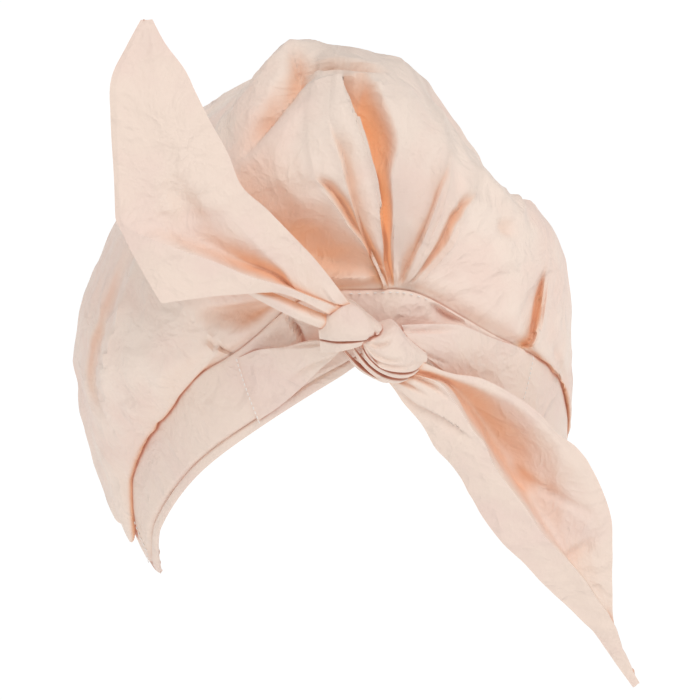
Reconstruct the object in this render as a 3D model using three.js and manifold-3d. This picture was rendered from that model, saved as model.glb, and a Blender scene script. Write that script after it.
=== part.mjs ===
// Bath cap tied at the front: a gathered waterproof crown sewn to a headband, an elastic casing at
// the nape, two straps sewn into the headband at the temples, their knot, and the two tie ends.
//
// Millimetres and degrees. +Z is up and -Y is the front of the head. The origin is the middle of
// the headband loop, level with the lower edge of the headband at the forehead. A heading is a
// direction round the head: 0 is the front, 90 is the +X side and 180 is the nape.

import * as THREE from 'three';
import { mergeVertices } from 'three/addons/utils/BufferGeometryUtils.js';
import Module from 'manifold-3d';

// ---------- driving sizes ----------

const CLOTH = 1.4; // wall of the crown, the straps and the tie ends
const BAND_WALL = 2; // the headband and the casing are doubled cloth
const GAP = 0.3; // clearance where pieces are sewn or wrapped together
const SEAM_GAP = 0.9; // height of the crown's edge over the band's, about one gap square to the slope
const LOOP_X = 95; // inside half-width of the headband loop
const LOOP_Y = 96; // inside half-depth of the headband loop
const BAND_FLARE = 1.5; // the seam stands this much further out than the lower edge
const BAND_BELLY = 1; // the band swells this much between its edges
const BAND_END = 97; // heading of the ear seams, where the headband meets the casing
const SEAM_OUT = BAND_WALL + BAND_FLARE; // outside face of the headband at its seam
const CROWN_TOP = 110; // height of the crown behind its crest

// The loop, the same on both sides of the head. rim is the height of the lower edge, lean is how
// many degrees further round the seam lies, rise is how far the seam is above the lower edge, and
// draw is how far elastic draws the lower edge in.
const LOOP_ROWS = [
  { heading: 0, rim: 0, lean: 0, rise: 31, draw: 0 },
  { heading: 15, rim: -10, lean: 2, rise: 31, draw: 0 },
  { heading: 35, rim: -31, lean: 7, rise: 29, draw: 0 },
  { heading: 55, rim: -58, lean: 8, rise: 31, draw: 0 },
  { heading: 77, rim: -100, lean: 7, rise: 31, draw: 3 },
  { heading: 97, rim: -127, lean: 3, rise: 32, draw: 8 },
  { heading: 118, rim: -110, lean: 0, rise: 22, draw: 4 },
  { heading: 150, rim: -80, lean: 0, rise: 20, draw: 3 },
  { heading: 180, rim: -67, lean: 0, rise: 20, draw: 3 },
];

// The crown, one profile for each heading. Each pair is the distance out from the middle and the
// height of a line round the crown: its low overhang, its widest line, its shoulder and its top.
const CROWN_ROWS = [
  { heading: -150, low: [106, -60], wide: [120, -16], shoulder: [106, 38], top: [64, 84] },
  { heading: -120, low: [112, -88], wide: [125, -30], shoulder: [110, 24], top: [70, 78] },
  { heading: -90, low: [112, -96], wide: [125, -38], shoulder: [111, 14], top: [74, 80] },
  { heading: -60, low: [107, -24], wide: [117, 0], shoulder: [103, 46], top: [68, 101] },
  { heading: -42, low: [103, 10], wide: [108, 44], shoulder: [97, 88], top: [62, 127] },
  { heading: -25, low: [101, 30], wide: [102, 72], shoulder: [90, 109], top: [52, 127] },
  { heading: 0, low: [100, 44], wide: [98, 80], shoulder: [85, 112], top: [45, 122] },
  { heading: 30, low: [101, 28], wide: [98, 62], shoulder: [71, 91], top: [43, 110] },
  { heading: 60, low: [101, -12], wide: [96, 40], shoulder: [57, 63], top: [37, 83] },
  { heading: 90, low: [102, -66], wide: [99, -24], shoulder: [91, 32], top: [54, 60] },
  { heading: 120, low: [105, -80], wide: [109, -32], shoulder: [92, 18], top: [58, 62] },
  { heading: 150, low: [104, -60], wide: [115, -18], shoulder: [98, 36], top: [60, 78] },
  { heading: 180, low: [103, -45], wide: [117, -8], shoulder: [103, 45], top: [62, 86] },
];

// How far up the cloth each line of the crown lies, from 0 at the seam to 1 at the middle of the top.
const LINE_AT = { low: 0.1, wide: 0.35, shoulder: 0.6, top: 0.8 };

// Pleats of the crown that rise from its seam. Each runs from foot to head, given as thread and
// place up the cloth. left and right are its reach to either side in millimetres at its head,
// depth is how far it stands out, or in where it is negative, and taper is the share of its
// length over which its head fades.
const PLEATS = [
  { foot: [0, 0.02], head: [-4, 0.6], left: 8, right: 18, depth: -18, taper: 0.12 },
  { foot: [-8, 0.02], head: [-22, 0.5], left: 12, right: 10, depth: 5, taper: 0.4 },
  { foot: [10, 0.02], head: [24, 0.45], left: 10, right: 10, depth: -6, taper: 0.4 },
];

// ---------- smooth curves through tables ----------

const RADIANS = Math.PI / 180;
const sine = (degrees) => Math.sin(degrees * RADIANS);
const cosine = (degrees) => Math.cos(degrees * RADIANS);
const blend = (a, b, share) => a + (b - a) * share;
const within = (value, low, high) => Math.min(Math.max(value, low), high);
const eased = (t) => within(t, 0, 1) ** 2 * (3 - 2 * within(t, 0, 1));

// The value at a place along a table, on a smooth curve through its rows. key is the column that
// says where each row is, and read takes the value from a row.
function along(rows, key, place, read) {
  let i = 0;
  while (i < rows.length - 2 && place > rows[i + 1][key]) i += 1;
  const slope = (j) => {
    const before = rows[Math.max(j - 1, 0)];
    const after = rows[Math.min(j + 1, rows.length - 1)];
    return (read(after) - read(before)) / (after[key] - before[key]);
  };
  const span = rows[i + 1][key] - rows[i][key];
  const t = (place - rows[i][key]) / span;
  const rest = 1 - t;
  return read(rows[i]) * (1 + 2 * t) * rest * rest
    + read(rows[i + 1]) * (3 - 2 * t) * t * t
    + slope(i) * span * t * rest * rest
    - slope(i + 1) * span * t * t * rest;
}

const turned = (row, by) => ({ ...row, heading: row.heading + by });
const LOOP_TABLE = [
  { ...LOOP_ROWS[1], heading: -LOOP_ROWS[1].heading },
  ...LOOP_ROWS,
  { ...LOOP_ROWS.at(-2), heading: 360 - LOOP_ROWS.at(-2).heading },
];
const CROWN_TABLE = [
  turned(CROWN_ROWS.at(-2), -360),
  turned(CROWN_ROWS.at(-1), -360),
  ...CROWN_ROWS,
  turned(CROWN_ROWS[0], 360),
];

// ---------- the headband loop ----------

const signedTurn = (heading) => heading - 360 * Math.round(heading / 360);

function loopValue(heading, column) {
  return along(LOOP_TABLE, 'heading', Math.abs(signedTurn(heading)), (row) => row[column]);
}

function polar(heading, out, up) {
  return new THREE.Vector3((LOOP_X + out) * sine(heading), -(LOOP_Y + out) * cosine(heading), up);
}

// A point of the band's inside face, share of the way from its lower edge to the seam.
function loopPoint(heading, share, out) {
  const side = Math.sign(signedTurn(heading));
  const lean = side * loopValue(heading, 'lean') * share;
  const up = loopValue(heading, 'rim') + loopValue(heading, 'rise') * share;
  const drawn = loopValue(heading, 'draw') * (1 - share);
  const swell = BAND_FLARE * share + BAND_BELLY * Math.sin(Math.PI * share) - drawn;
  return polar(heading + lean, out + swell, up);
}

// Height of the seam straight above a heading, which undoes the lean of the band.
function seamHeight(heading) {
  let foot = heading;
  for (let step = 0; step < 6; step += 1) {
    foot = heading - Math.sign(signedTurn(foot)) * loopValue(foot, 'lean');
  }
  return loopValue(foot, 'rim') + loopValue(foot, 'rise');
}

// ---------- the crown ----------

function crownProfile(heading) {
  const turn = signedTurn(heading);
  const line = (name, part) => along(CROWN_TABLE, 'heading', turn, (row) => row[name][part]);
  const rows = [{ at: 0, out: LOOP_X + SEAM_OUT, up: seamHeight(heading) + SEAM_GAP }];
  for (const name of Object.keys(LINE_AT)) {
    rows.push({ at: LINE_AT[name], out: line(name, 0), up: line(name, 1) });
  }
  rows.push({ at: 1, out: 0, up: CROWN_TOP });
  rows.push({ at: 2 - LINE_AT.top, out: -rows.at(-2).out, up: rows.at(-2).up });
  return rows;
}

function smoothCrown(heading, place) {
  const rows = crownProfile(heading);
  const out = along(rows, 'at', place, (row) => row.out);
  const up = along(rows, 'at', place, (row) => row.up);
  return new THREE.Vector3(out * sine(heading), -out * cosine(heading), up);
}

function crownNormal(heading, place) {
  const step = 0.01;
  if (place > 1 - step) return new THREE.Vector3(0, 0, 1);
  const start = Math.max(place, step);
  const round = smoothCrown(heading + 1, start).sub(smoothCrown(heading - 1, start));
  const rise = smoothCrown(heading, start + step).sub(smoothCrown(heading, start - step));
  return round.cross(rise).normalize();
}

// The cloth is gathered at the forehead: its threads, numbered in degrees round the crown, crowd
// together at the middle of the front seam and spread out above it.
function threadHeading(thread, place) {
  const crowding = blend(0.9, 0.45, eased(place / LINE_AT.shoulder));
  return thread * (1 - crowding * Math.exp(-((thread / 50) ** 2)));
}

// How far the pleats push the cloth out at a point of the crown.
function pleatDepth(thread, place) {
  const heading = threadHeading(thread, place);
  const out = along(crownProfile(heading), 'at', place, (row) => row.out);
  let depth = 0;
  for (const { foot, head, left, right, depth: most, taper } of PLEATS) {
    const t = (place - foot[1]) / (head[1] - foot[1]);
    const middle = threadHeading(blend(foot[0], head[0], t), place);
    const aside = signedTurn(heading - middle) * RADIANS * out;
    const reach = (aside < 0 ? left : right) * blend(0.2, 1, within(t, 0, 1));
    const across = 1 - Math.abs(aside) / reach;
    if (t > 0 && t < 1 && across > 0) {
      depth += most * eased(across) * eased(t / 0.6) * eased((1 - t) / taper);
    }
  }
  return depth;
}

// ---------- solids from sheets ----------

// A closed solid from two matching grids of points, the outside face and the inside face. The
// rows join up in a loop where loop is set, and meet in one point at the end where apex is set.
function solid(outside, inside, { loop = false, apex = false } = {}) {
  const rows = outside.length;
  const columns = outside[0].length;
  const points = [...outside.flat(), ...inside.flat()];
  const front = (i, j) => (i % rows) * columns + j;
  const back = (i, j) => rows * columns + front(i, j);
  const corners = [];
  const quad = (a, b, c, d) => corners.push(a, b, c, a, c, d);
  const lastColumn = columns - 1;
  for (let i = 0; i < (loop ? rows : rows - 1); i += 1) {
    for (let j = 0; j < lastColumn; j += 1) {
      quad(front(i, j), front(i + 1, j), front(i + 1, j + 1), front(i, j + 1));
      quad(back(i, j), back(i, j + 1), back(i + 1, j + 1), back(i + 1, j));
    }
    quad(front(i + 1, 0), front(i, 0), back(i, 0), back(i + 1, 0));
    if (!apex) {
      quad(front(i, lastColumn), front(i + 1, lastColumn), back(i + 1, lastColumn), back(i, lastColumn));
    }
  }
  if (!loop) {
    for (let j = 0; j < lastColumn; j += 1) {
      quad(front(0, j), front(0, j + 1), back(0, j + 1), back(0, j));
      quad(front(rows - 1, j + 1), front(rows - 1, j), back(rows - 1, j), back(rows - 1, j + 1));
    }
  }
  return closedGeometry(points, corners);
}

// A geometry with its shared points merged, its slivers dropped and its faces turned outwards.
function closedGeometry(points, corners) {
  const loose = new THREE.BufferGeometry();
  loose.setAttribute('position', new THREE.Float32BufferAttribute(points.flatMap((p) => [p.x, p.y, p.z]), 3));
  loose.setIndex(corners);
  const merged = mergeVertices(loose, 1e-4);
  const index = merged.index.array;
  const kept = [];
  let volume = 0;
  const [a, b, c] = [new THREE.Vector3(), new THREE.Vector3(), new THREE.Vector3()];
  for (let k = 0; k < index.length; k += 3) {
    const [i, j, l] = [index[k], index[k + 1], index[k + 2]];
    if (i !== j && j !== l && l !== i) {
      kept.push(i, j, l);
      a.fromBufferAttribute(merged.attributes.position, i);
      b.fromBufferAttribute(merged.attributes.position, j);
      c.fromBufferAttribute(merged.attributes.position, l);
      volume += a.dot(b.cross(c));
    }
  }
  merged.setIndex(volume < 0 ? kept.reverse() : kept);
  return merged;
}

// Evenly spread numbers from first to last.
function spread(first, last, count) {
  return Array.from({ length: count + 1 }, (_, i) => blend(first, last, i / count));
}

// ---------- the crown, the headband and the casing ----------

const CROWN_ROUND = 60; // threads of the crown that are drawn
const CROWN_STEPS = 16; // steps up each thread

function crownGeometry() {
  const outside = [];
  const inside = [];
  const places = spread(0, 1, CROWN_STEPS);
  for (const thread of spread(-180, 180, CROWN_ROUND).slice(1)) {
    const facing = (place) => crownNormal(threadHeading(thread, place), place);
    const outer = (place) => smoothCrown(threadHeading(thread, place), place)
      .addScaledVector(facing(place), pleatDepth(thread, place));
    outside.push(places.map(outer));
    inside.push(places.map((place) => outer(place).addScaledVector(facing(place), -CLOTH)));
  }
  return solid(outside, inside, { loop: true, apex: true });
}

// A stretch of the doubled band between two headings. Its lower edge is a narrow fold.
function bandGeometry(first, last, count) {
  const shares = [0, 0.03, 0.25, 0.5, 0.75, 1];
  const pinch = (share) => (share === 0 ? BAND_WALL / 4 : 0);
  const face = (out) => spread(first, last, count).map(
    (heading) => shares.map((share) => loopPoint(heading, share, out(share))),
  );
  return solid(face((share) => BAND_WALL - pinch(share)), face(pinch));
}

// ---------- the straps, the knot and the tie ends ----------

// Each strap, from the temple seam to the knot. high and low are its two edges, each given as
// heading, height and distance outside the loop.
const STRAP_LEFT = [
  { at: 0, high: [-42, -2, 5], low: [-35.5, -30, 3.2] },
  { at: 1, high: [-36, 3, 5.6], low: [-30, -22, 4.4] },
  { at: 2, high: [-29.5, 8, 7], low: [-24, -13, 6] },
  { at: 3, high: [-23.5, 11, 11], low: [-17.5, -1, 9] },
  { at: 4, high: [-14, 15, 16], low: [-11, 9, 15] },
];
const STRAP_RIGHT = [
  { at: 0, high: [38, -6, 5], low: [36.5, -30, 3.2] },
  { at: 1, high: [30, 2, 5.4], low: [29, -22, 4.6] },
  { at: 2, high: [21.5, 9, 6], low: [20, -12, 6] },
  { at: 3, high: [12, 16, 9], low: [12, -3, 9] },
  { at: 4, high: [1, 18, 15], low: [3, 9, 15] },
];

// The knot: rounded lobes, each with its middle, its half-sizes and its turn about the Y axis.
const KNOT_LOBES = [
  { middle: [-24, -113, 21], half: [13, 9, 11.5], turn: 20 },
  { middle: [-3, -114, 11], half: [15, 10, 10.5], turn: 35 },
  { middle: [-17, -114, 7], half: [15, 7, 6], turn: 42 },
];

// The upper tie end, from the knot to its tip. low and high are its edges in x and z, forward is
// how far in front of the middle of the head it stands, crease is where its valley lies between
// the edges, valley is how deep that is, and flap and panel are how far the cloth below and above
// the valley swells forward.
const TAIL_UPPER = [
  { at: 0, low: [-29, 23], high: [-22, 29], forward: 113, crease: 0.45, valley: 1, flap: 1, panel: 1 },
  { at: 1, low: [-41, 31], high: [-29, 41], forward: 112, crease: 0.4, valley: 2, flap: 2, panel: 2 },
  { at: 2, low: [-55, 38], high: [-37, 52], forward: 111, crease: 0.38, valley: 6, flap: 2, panel: 4 },
  { at: 3, low: [-68, 38], high: [-50, 66], forward: 110, crease: 0.45, valley: 11, flap: 3, panel: 5 },
  { at: 4, low: [-86, 37], high: [-67, 82], forward: 109, crease: 0.45, valley: 10, flap: 4, panel: 5 },
  { at: 5, low: [-102, 35], high: [-74, 98], forward: 107, crease: 0.4, valley: 6, flap: 4, panel: 4 },
  { at: 6, low: [-113, 52], high: [-82, 114], forward: 104, crease: 0.3, valley: 3, flap: 2, panel: 4 },
  { at: 7, low: [-120, 70], high: [-87, 125], forward: 101, crease: 0.3, valley: 1, flap: 1, panel: 4 },
  { at: 8, low: [-121, 96], high: [-92, 135], forward: 98, crease: 0.4, valley: 0, flap: 1, panel: 3 },
  { at: 9, low: [-120, 120], high: [-97, 143], forward: 95, crease: 0.5, valley: 0, flap: 1, panel: 2 },
  { at: 10, low: [-115, 140], high: [-101, 150], forward: 92, crease: 0.5, valley: 0, flap: 1, panel: 1 },
  { at: 11, low: [-107, 153], high: [-102, 154], forward: 90, crease: 0.5, valley: 0, flap: 0, panel: 0 },
];

// The hanging tie end, in the same columns: its low edge is the one nearer the face.
const TAIL_HANGING = [
  { at: 0, low: [-4, -3], high: [7, 3], forward: 112, crease: 0.5, valley: 1, flap: 1, panel: 1 },
  { at: 1, low: [1, -14], high: [24, -4], forward: 111, crease: 0.6, valley: 3, flap: 4, panel: 2 },
  { at: 2, low: [9, -26], high: [46, -14], forward: 109, crease: 0.65, valley: 8, flap: 5, panel: 4 },
  { at: 3, low: [19, -41], high: [73, -39], forward: 107, crease: 0.58, valley: 12, flap: 6, panel: 8 },
  { at: 4, low: [30, -59], high: [89, -58], forward: 104, crease: 0.5, valley: 11, flap: 5, panel: 8 },
  { at: 5, low: [47, -85], high: [99, -82], forward: 101, crease: 0.5, valley: 8, flap: 4, panel: 6 },
  { at: 6, low: [70, -111], high: [101, -112], forward: 98, crease: 0.62, valley: 5, flap: 3, panel: 4 },
  { at: 7, low: [84, -126], high: [101, -130], forward: 95, crease: 0.7, valley: 2, flap: 2, panel: 2 },
  { at: 8, low: [97, -143], high: [105, -147], forward: 92, crease: 0.5, valley: 1, flap: 1, panel: 1 },
  { at: 9, low: [110, -163], high: [114, -162], forward: 90, crease: 0.5, valley: 0, flap: 0, panel: 0 },
];

// A flat strap between its two edges, as thick as the cloth.
function strapGeometry(rows, steps, across) {
  const last = rows.length - 1;
  const point = (at, share, out) => {
    const edge = (name, part) => along(rows, 'at', at, (row) => row[name][part]);
    const part = (index) => blend(edge('low', index), edge('high', index), share);
    const swell = 1.2 * Math.sin(Math.PI * share) * Math.sin((Math.PI * at) / last);
    return polar(part(0), part(2) + swell + out, part(1));
  };
  const face = (out) => spread(0, last, steps).map((at) => spread(0, 1, across).map((share) => point(at, share, out)));
  return solid(face(CLOTH), face(0));
}

// A tie end: a leaf of cloth between its two edges, with a valley along it.
function tailGeometry(rows, steps, across) {
  const point = (at, share, back) => {
    const value = (read) => along(rows, 'at', at, read);
    const crease = value((row) => row.crease);
    const ridge = blend(crease, 1, 0.35);
    const section = [
      { share: 0, depth: 0 },
      { share: crease / 2, depth: -value((row) => row.flap) },
      { share: crease, depth: value((row) => row.valley) },
      { share: ridge, depth: -value((row) => row.panel) },
      { share: 1, depth: 0 },
    ];
    const x = blend(value((row) => row.low[0]), value((row) => row.high[0]), share);
    const z = blend(value((row) => row.low[1]), value((row) => row.high[1]), share);
    const depth = along(section, 'share', share, (row) => row.depth);
    return new THREE.Vector3(x, depth + back - value((row) => row.forward), z);
  };
  const face = (back) => spread(0, rows.length - 1, steps).map(
    (at) => spread(0, 1, across).map((share) => point(at, share, back)),
  );
  return solid(face(0), face(CLOTH));
}

const wasm = await Module();
wasm.setup();

function toManifold(geometry) {
  const vertProperties = Float32Array.from(geometry.attributes.position.array);
  const triVerts = Uint32Array.from(geometry.index.array);
  return new wasm.Manifold(new wasm.Mesh({ numProp: 3, vertProperties, triVerts }));
}

function toGeometry(manifold) {
  const { vertProperties, triVerts } = manifold.getMesh();
  const geometry = new THREE.BufferGeometry();
  geometry.setAttribute('position', new THREE.BufferAttribute(vertProperties, 3));
  geometry.setIndex(new THREE.BufferAttribute(triVerts, 1));
  return geometry;
}

// The lobes of the knot joined, each grown outwards by the given amount.
function knotSolid(grown) {
  const lobes = KNOT_LOBES.map(({ middle, half, turn }) => {
    const ball = new THREE.SphereGeometry(1, 18, 10);
    ball.deleteAttribute('normal');
    ball.deleteAttribute('uv');
    ball.scale(half[0] + grown, half[1] + grown, half[2] + grown);
    ball.rotateY(turn * RADIANS);
    ball.translate(...middle);
    return toManifold(mergeVertices(ball, 1e-4));
  });
  return lobes.reduce((whole, lobe) => whole.add(lobe));
}

// A piece that runs into the knot, cut back to leave the gap round it, without what lies beyond.
function cutAtKnot(geometry) {
  const pieces = toManifold(geometry).subtract(knotSolid(GAP)).decompose();
  return toGeometry(pieces.reduce((most, piece) => (piece.volume() > most.volume() ? piece : most)));
}

// ---------- the whole cap ----------

const object = new THREE.Group();

function add(name, geometry) {
  const cloth = new THREE.MeshStandardMaterial({ color: 0xf0d8c8, roughness: 0.6, metalness: 0 });
  const mesh = new THREE.Mesh(geometry, cloth);
  mesh.name = name;
  object.add(mesh);
}

const endGap = GAP / (LOOP_X * RADIANS); // degrees of heading in one gap
add('crown', crownGeometry());
add('headband', bandGeometry(-BAND_END, BAND_END, 48));
add('nape_casing', bandGeometry(BAND_END + endGap, 360 - BAND_END - endGap, 36));
add('strap_left', cutAtKnot(strapGeometry(STRAP_LEFT, 12, 4)));
add('strap_right', cutAtKnot(strapGeometry(STRAP_RIGHT, 12, 4)));
add('knot', toGeometry(knotSolid(0)));
add('tail_upper', cutAtKnot(tailGeometry(TAIL_UPPER, 20, 10)));
add('tail_hanging', cutAtKnot(tailGeometry(TAIL_HANGING, 20, 10)));

export default object;
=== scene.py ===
"""Bath cap tied at the front, in blush taffeta: the crown, the headband, the elastic casing at the
nape, the two straps, the knot and the two tie ends, with their stitching.

Sizes are in millimetres until a mesh is made. A heading is a direction round the head in degrees:
0 is the front, 90 is the +X side and 180 is the nape.
"""

import math

import bpy
import numpy as np
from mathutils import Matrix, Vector, noise
from mathutils.bvhtree import BVHTree


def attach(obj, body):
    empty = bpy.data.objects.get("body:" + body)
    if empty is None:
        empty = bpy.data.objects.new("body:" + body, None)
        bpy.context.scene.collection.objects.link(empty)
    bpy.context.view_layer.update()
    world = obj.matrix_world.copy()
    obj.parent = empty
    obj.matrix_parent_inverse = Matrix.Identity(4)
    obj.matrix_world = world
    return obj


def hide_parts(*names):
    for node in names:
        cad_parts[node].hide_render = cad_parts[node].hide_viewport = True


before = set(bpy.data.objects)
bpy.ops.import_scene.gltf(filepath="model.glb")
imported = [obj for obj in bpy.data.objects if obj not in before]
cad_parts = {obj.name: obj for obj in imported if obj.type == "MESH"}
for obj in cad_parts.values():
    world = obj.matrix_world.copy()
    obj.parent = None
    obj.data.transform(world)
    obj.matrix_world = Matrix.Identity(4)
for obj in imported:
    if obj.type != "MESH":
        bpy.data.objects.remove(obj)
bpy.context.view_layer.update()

MM = 0.001
CLOTH = 0.7  # wall of a single cloth
DOUBLED = 1.6  # wall of the doubled cloth of band and casing
BAND_WALL = 2.0  # from the inside of the loop to the outer face of the band
LOOP_X = 95.0  # inside half-width of the headband loop
LOOP_Y = 96.0  # inside half-depth of the headband loop
BAND_FLARE = 1.5  # how much further out the band stands at its seam than at its rim
BAND_BELLY = 1.0  # how much it swells out halfway up
BAND_END = 97.0  # heading where the band ends and the casing begins, on either side
SEAM_OUT = BAND_WALL + BAND_FLARE  # how far out the seam of band and crown is
SEAM_TUCK = 1.0  # how far inside that the edge of the crown is
SEAM_GAP = -0.3  # height of the edge of the crown over the seam
CROWN_TOP = 110.0  # height of the middle of the crown before its folds


# ---------- camera and light ----------

VIEW_TURN, VIEW_RISE, VIEW_FAR = math.radians(-11.5), math.radians(18.0), 2.0
VIEW_AT = Vector((-1.36, -7.81, -24.38)) * MM
VIEW_WIDE = 0.315  # width that the camera takes in at the cap
FILM = 36.0


def set_camera():
    """A camera that looks at the cap from a little to its left and above."""
    back = Vector((
        math.sin(VIEW_TURN) * math.cos(VIEW_RISE),
        -math.cos(VIEW_TURN) * math.cos(VIEW_RISE),
        math.sin(VIEW_RISE),
    ))
    bpy.ops.object.camera_add(location=VIEW_AT + back * VIEW_FAR)
    camera = bpy.context.active_object
    camera.name = "camera"
    camera.rotation_euler = back.to_track_quat("Z", "Y").to_euler()
    camera.data.sensor_width = FILM
    camera.data.lens = FILM * VIEW_FAR / VIEW_WIDE
    camera.data.clip_end = 50.0
    bpy.context.scene.camera = camera


def add_sun(name, place, spread, power):
    """A broad, even light from the side of place. spread is how wide it looks, in degrees."""
    bpy.ops.object.light_add(type="SUN", location=place)
    lamp = bpy.context.active_object
    lamp.name = name
    lamp.rotation_euler = Vector(place).to_track_quat("Z", "Y").to_euler()
    lamp.data.angle = math.radians(spread)
    lamp.data.energy = power


set_camera()


# ---------- smooth curves through tables ----------

def blend(a, b, share):
    return a + (b - a) * share


def eased(t):
    t = np.clip(t, 0.0, 1.0)
    return t * t * (3.0 - 2.0 * t)


def hump(x, middle, spread):
    """A round hump that is 1 at the middle and fades out on both sides."""
    return np.exp(-(((x - middle) / spread) ** 2))


def uneven_wave(x, pace, *drifts):
    """A wave along x whose pace drifts by the given amounts and slower paces."""
    phase = x * pace
    for amount, slower in drifts:
        phase = phase + amount * np.sin(x * slower)
    return np.sin(phase)


def through(at, values, places, each_own=False):
    """Values at places, on a smooth curve through the values at the rising numbers in at.

    Rows of values go with at. Where each place has its own, places and columns go together.
    """
    at, values = np.asarray(at, float), np.asarray(values, float)
    places = np.asarray(places, float)
    last = len(at) - 1
    after = np.minimum(np.arange(last + 1) + 1, last)
    before = np.maximum(np.arange(last + 1) - 1, 0)
    apart = at[after] - at[before]
    slopes = (values[after] - values[before]) / apart.reshape((-1,) + (1,) * (values.ndim - 1))
    i = np.clip(np.searchsorted(at, places) - 1, 0, last - 1)
    span = at[i + 1] - at[i]
    t = (places - at[i]) / span
    near, far = (i, i + 1)
    if each_own:
        near, far = (i, np.arange(len(places))), (i + 1, np.arange(len(places)))
    elif values.ndim == 2:
        t, span = t[:, None], span[:, None]
    rest = 1.0 - t
    return (
        values[near] * (1.0 + 2.0 * t) * rest * rest
        + values[far] * (3.0 - 2.0 * t) * t * t
        + slopes[near] * span * t * rest * rest
        - slopes[far] * span * t * t * rest
    )


def curve_through(points, count):
    """Evenly spaced points on a smooth curve through the given ones, over all their columns."""
    points = np.asarray(points, float)
    steps = np.linalg.norm(np.diff(points[:, :3], axis=0), axis=1)
    at = np.concatenate([[0.0], np.cumsum(steps)])
    return through(at, points, np.linspace(0.0, at[-1], count))


# ---------- the headband loop ----------

# heading, height of the lower edge, lean of the seam, rise to the seam, draw of the elastic
LOOP_ROWS = np.array([
    [-15, -9, 2, 30, 0],
    [0, 5, 0, 26, 0],
    [15, -9, 2, 30, 0],
    [35, -33, 7, 31, 0],
    [55, -61, 8, 36, 0],
    [77, -99, 7, 36, 3],
    [97, -132, 3, 43, 10],
    [118, -102, 0, 22, 4],
    [150, -67, 0, 20, 3],
    [180, -59, 0, 20, 3],
    [210, -67, 0, 20, 3],
], float)
TEMPLE_FLARE = 1.6  # how much further out the band stands over its end on the -X side
TEMPLE_AT, TEMPLE_SPREAD = -92.0, 24.0
LEFT_RISE = 12.0  # how much higher the seam is on the side of the upper end, near the front
LEFT_RISE_AT, LEFT_RISE_SPREAD = -19.0, 11.0
RIGHT_DROP = 7.0  # how much lower the band sits on the side of the hanging end
DROP_FROM, DROP_BUILDS_OVER = 3.0, 24.0
DROP_TO, DROP_FADES_OVER = 175.0, 60.0


def signed_turn(heading):
    """Headings as turns from the front, negative on the -X side."""
    return heading - 360.0 * np.round(heading / 360.0)


def loop_values(heading):
    """Rim, lean, rise and draw at headings."""
    turn = signed_turn(heading)
    values = through(LOOP_ROWS[:, 0], LOOP_ROWS[:, 1:], np.abs(turn)).T
    drop = RIGHT_DROP * eased((turn - DROP_FROM) / DROP_BUILDS_OVER)
    values[0] = values[0] - drop * eased((DROP_TO - turn) / DROP_FADES_OVER)
    values[2] = values[2] + LEFT_RISE * hump(turn, LEFT_RISE_AT, LEFT_RISE_SPREAD)
    return values


def polar(heading, out, up):
    """Points at headings, out from the inside of the loop, at heights."""
    turn = np.radians(heading)
    return np.stack([(LOOP_X + out) * np.sin(turn), -(LOOP_Y + out) * np.cos(turn), up], axis=-1)


def loop_point(heading, share, out):
    """Points of the band and casing at a share of their height, out from the inside of the loop."""
    rim, lean, rise, draw = loop_values(heading)
    turn = signed_turn(heading)
    temple = hump(turn, TEMPLE_AT, TEMPLE_SPREAD)
    swell = (BAND_FLARE + TEMPLE_FLARE * temple) * share + BAND_BELLY * np.sin(math.pi * share)
    swell = swell + TEMPLE_FLARE * temple - draw * (1.0 - share) ** 2
    return polar(heading + np.sign(turn) * lean * share, out + swell, rim + rise * share)


def loop_grid(heading, share, out):
    """The same points for whole grids of headings, shares and distances out."""
    points = loop_point(heading.ravel(), share.ravel(), out.ravel())
    return points.reshape(heading.shape + (3,))


def seam_height(heading):
    """Height of the seam straight above headings, which undoes the lean of the band."""
    turn = signed_turn(heading)
    foot = np.linspace(0.0, 180.0, 361)
    lean = loop_values(foot)[1]
    foot = np.sign(turn) * np.interp(np.abs(turn), foot + lean, foot)
    rim, _, rise, _ = loop_values(foot)
    return rim + rise


# ---------- cloth pieces from grids ----------

WELD = 1e-6
SMOOTH_UNDER = 45.0  # faces that meet at less than this are shaded as one


def grid_piece(name, points, wall, size, close=False):
    """A grid whose points are moved to the places in points, with a wall behind its face.

    size is the cut size of the cloth in metres, which scales its own map. A closed piece has
    its doubled points merged, along its side seam and at its middle.
    """
    columns, rows = points.shape[0] - 1, points.shape[1] - 1
    bpy.ops.object.select_all(action="DESELECT")
    bpy.ops.mesh.primitive_grid_add(x_subdivisions=columns, y_subdivisions=rows, size=1.0)
    piece = bpy.context.active_object
    piece.name = name
    piece.data.name = name
    mesh = piece.data
    flat = np.empty(len(mesh.vertices) * 3)
    mesh.vertices.foreach_get("co", flat)
    flat = flat.reshape(-1, 3)
    i = np.rint((flat[:, 0] + 0.5) * columns).astype(int)
    j = np.rint((flat[:, 1] + 0.5) * rows).astype(int)
    mesh.vertices.foreach_set("co", (points[i, j] * MM).ravel())
    mesh.uv_layers[0].name = "cloth"
    uv = np.empty(len(mesh.loops) * 2)
    mesh.uv_layers[0].data.foreach_get("uv", uv)
    mesh.uv_layers[0].data.foreach_set("uv", (uv.reshape(-1, 2) * np.asarray(size)).ravel())
    mesh.update()
    if close:
        bpy.ops.object.mode_set(mode="EDIT")
        bpy.ops.mesh.select_all(action="SELECT")
        bpy.ops.mesh.remove_doubles(threshold=WELD)
        bpy.ops.object.mode_set(mode="OBJECT")
    modifier = piece.modifiers.new("wall", "SOLIDIFY")
    modifier.thickness = wall * MM
    modifier.offset = -1.0
    modifier.use_even_offset = False
    bpy.ops.object.modifier_apply(modifier="wall")
    bpy.ops.object.shade_smooth_by_angle(angle=math.radians(SMOOTH_UNDER))
    return piece


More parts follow.
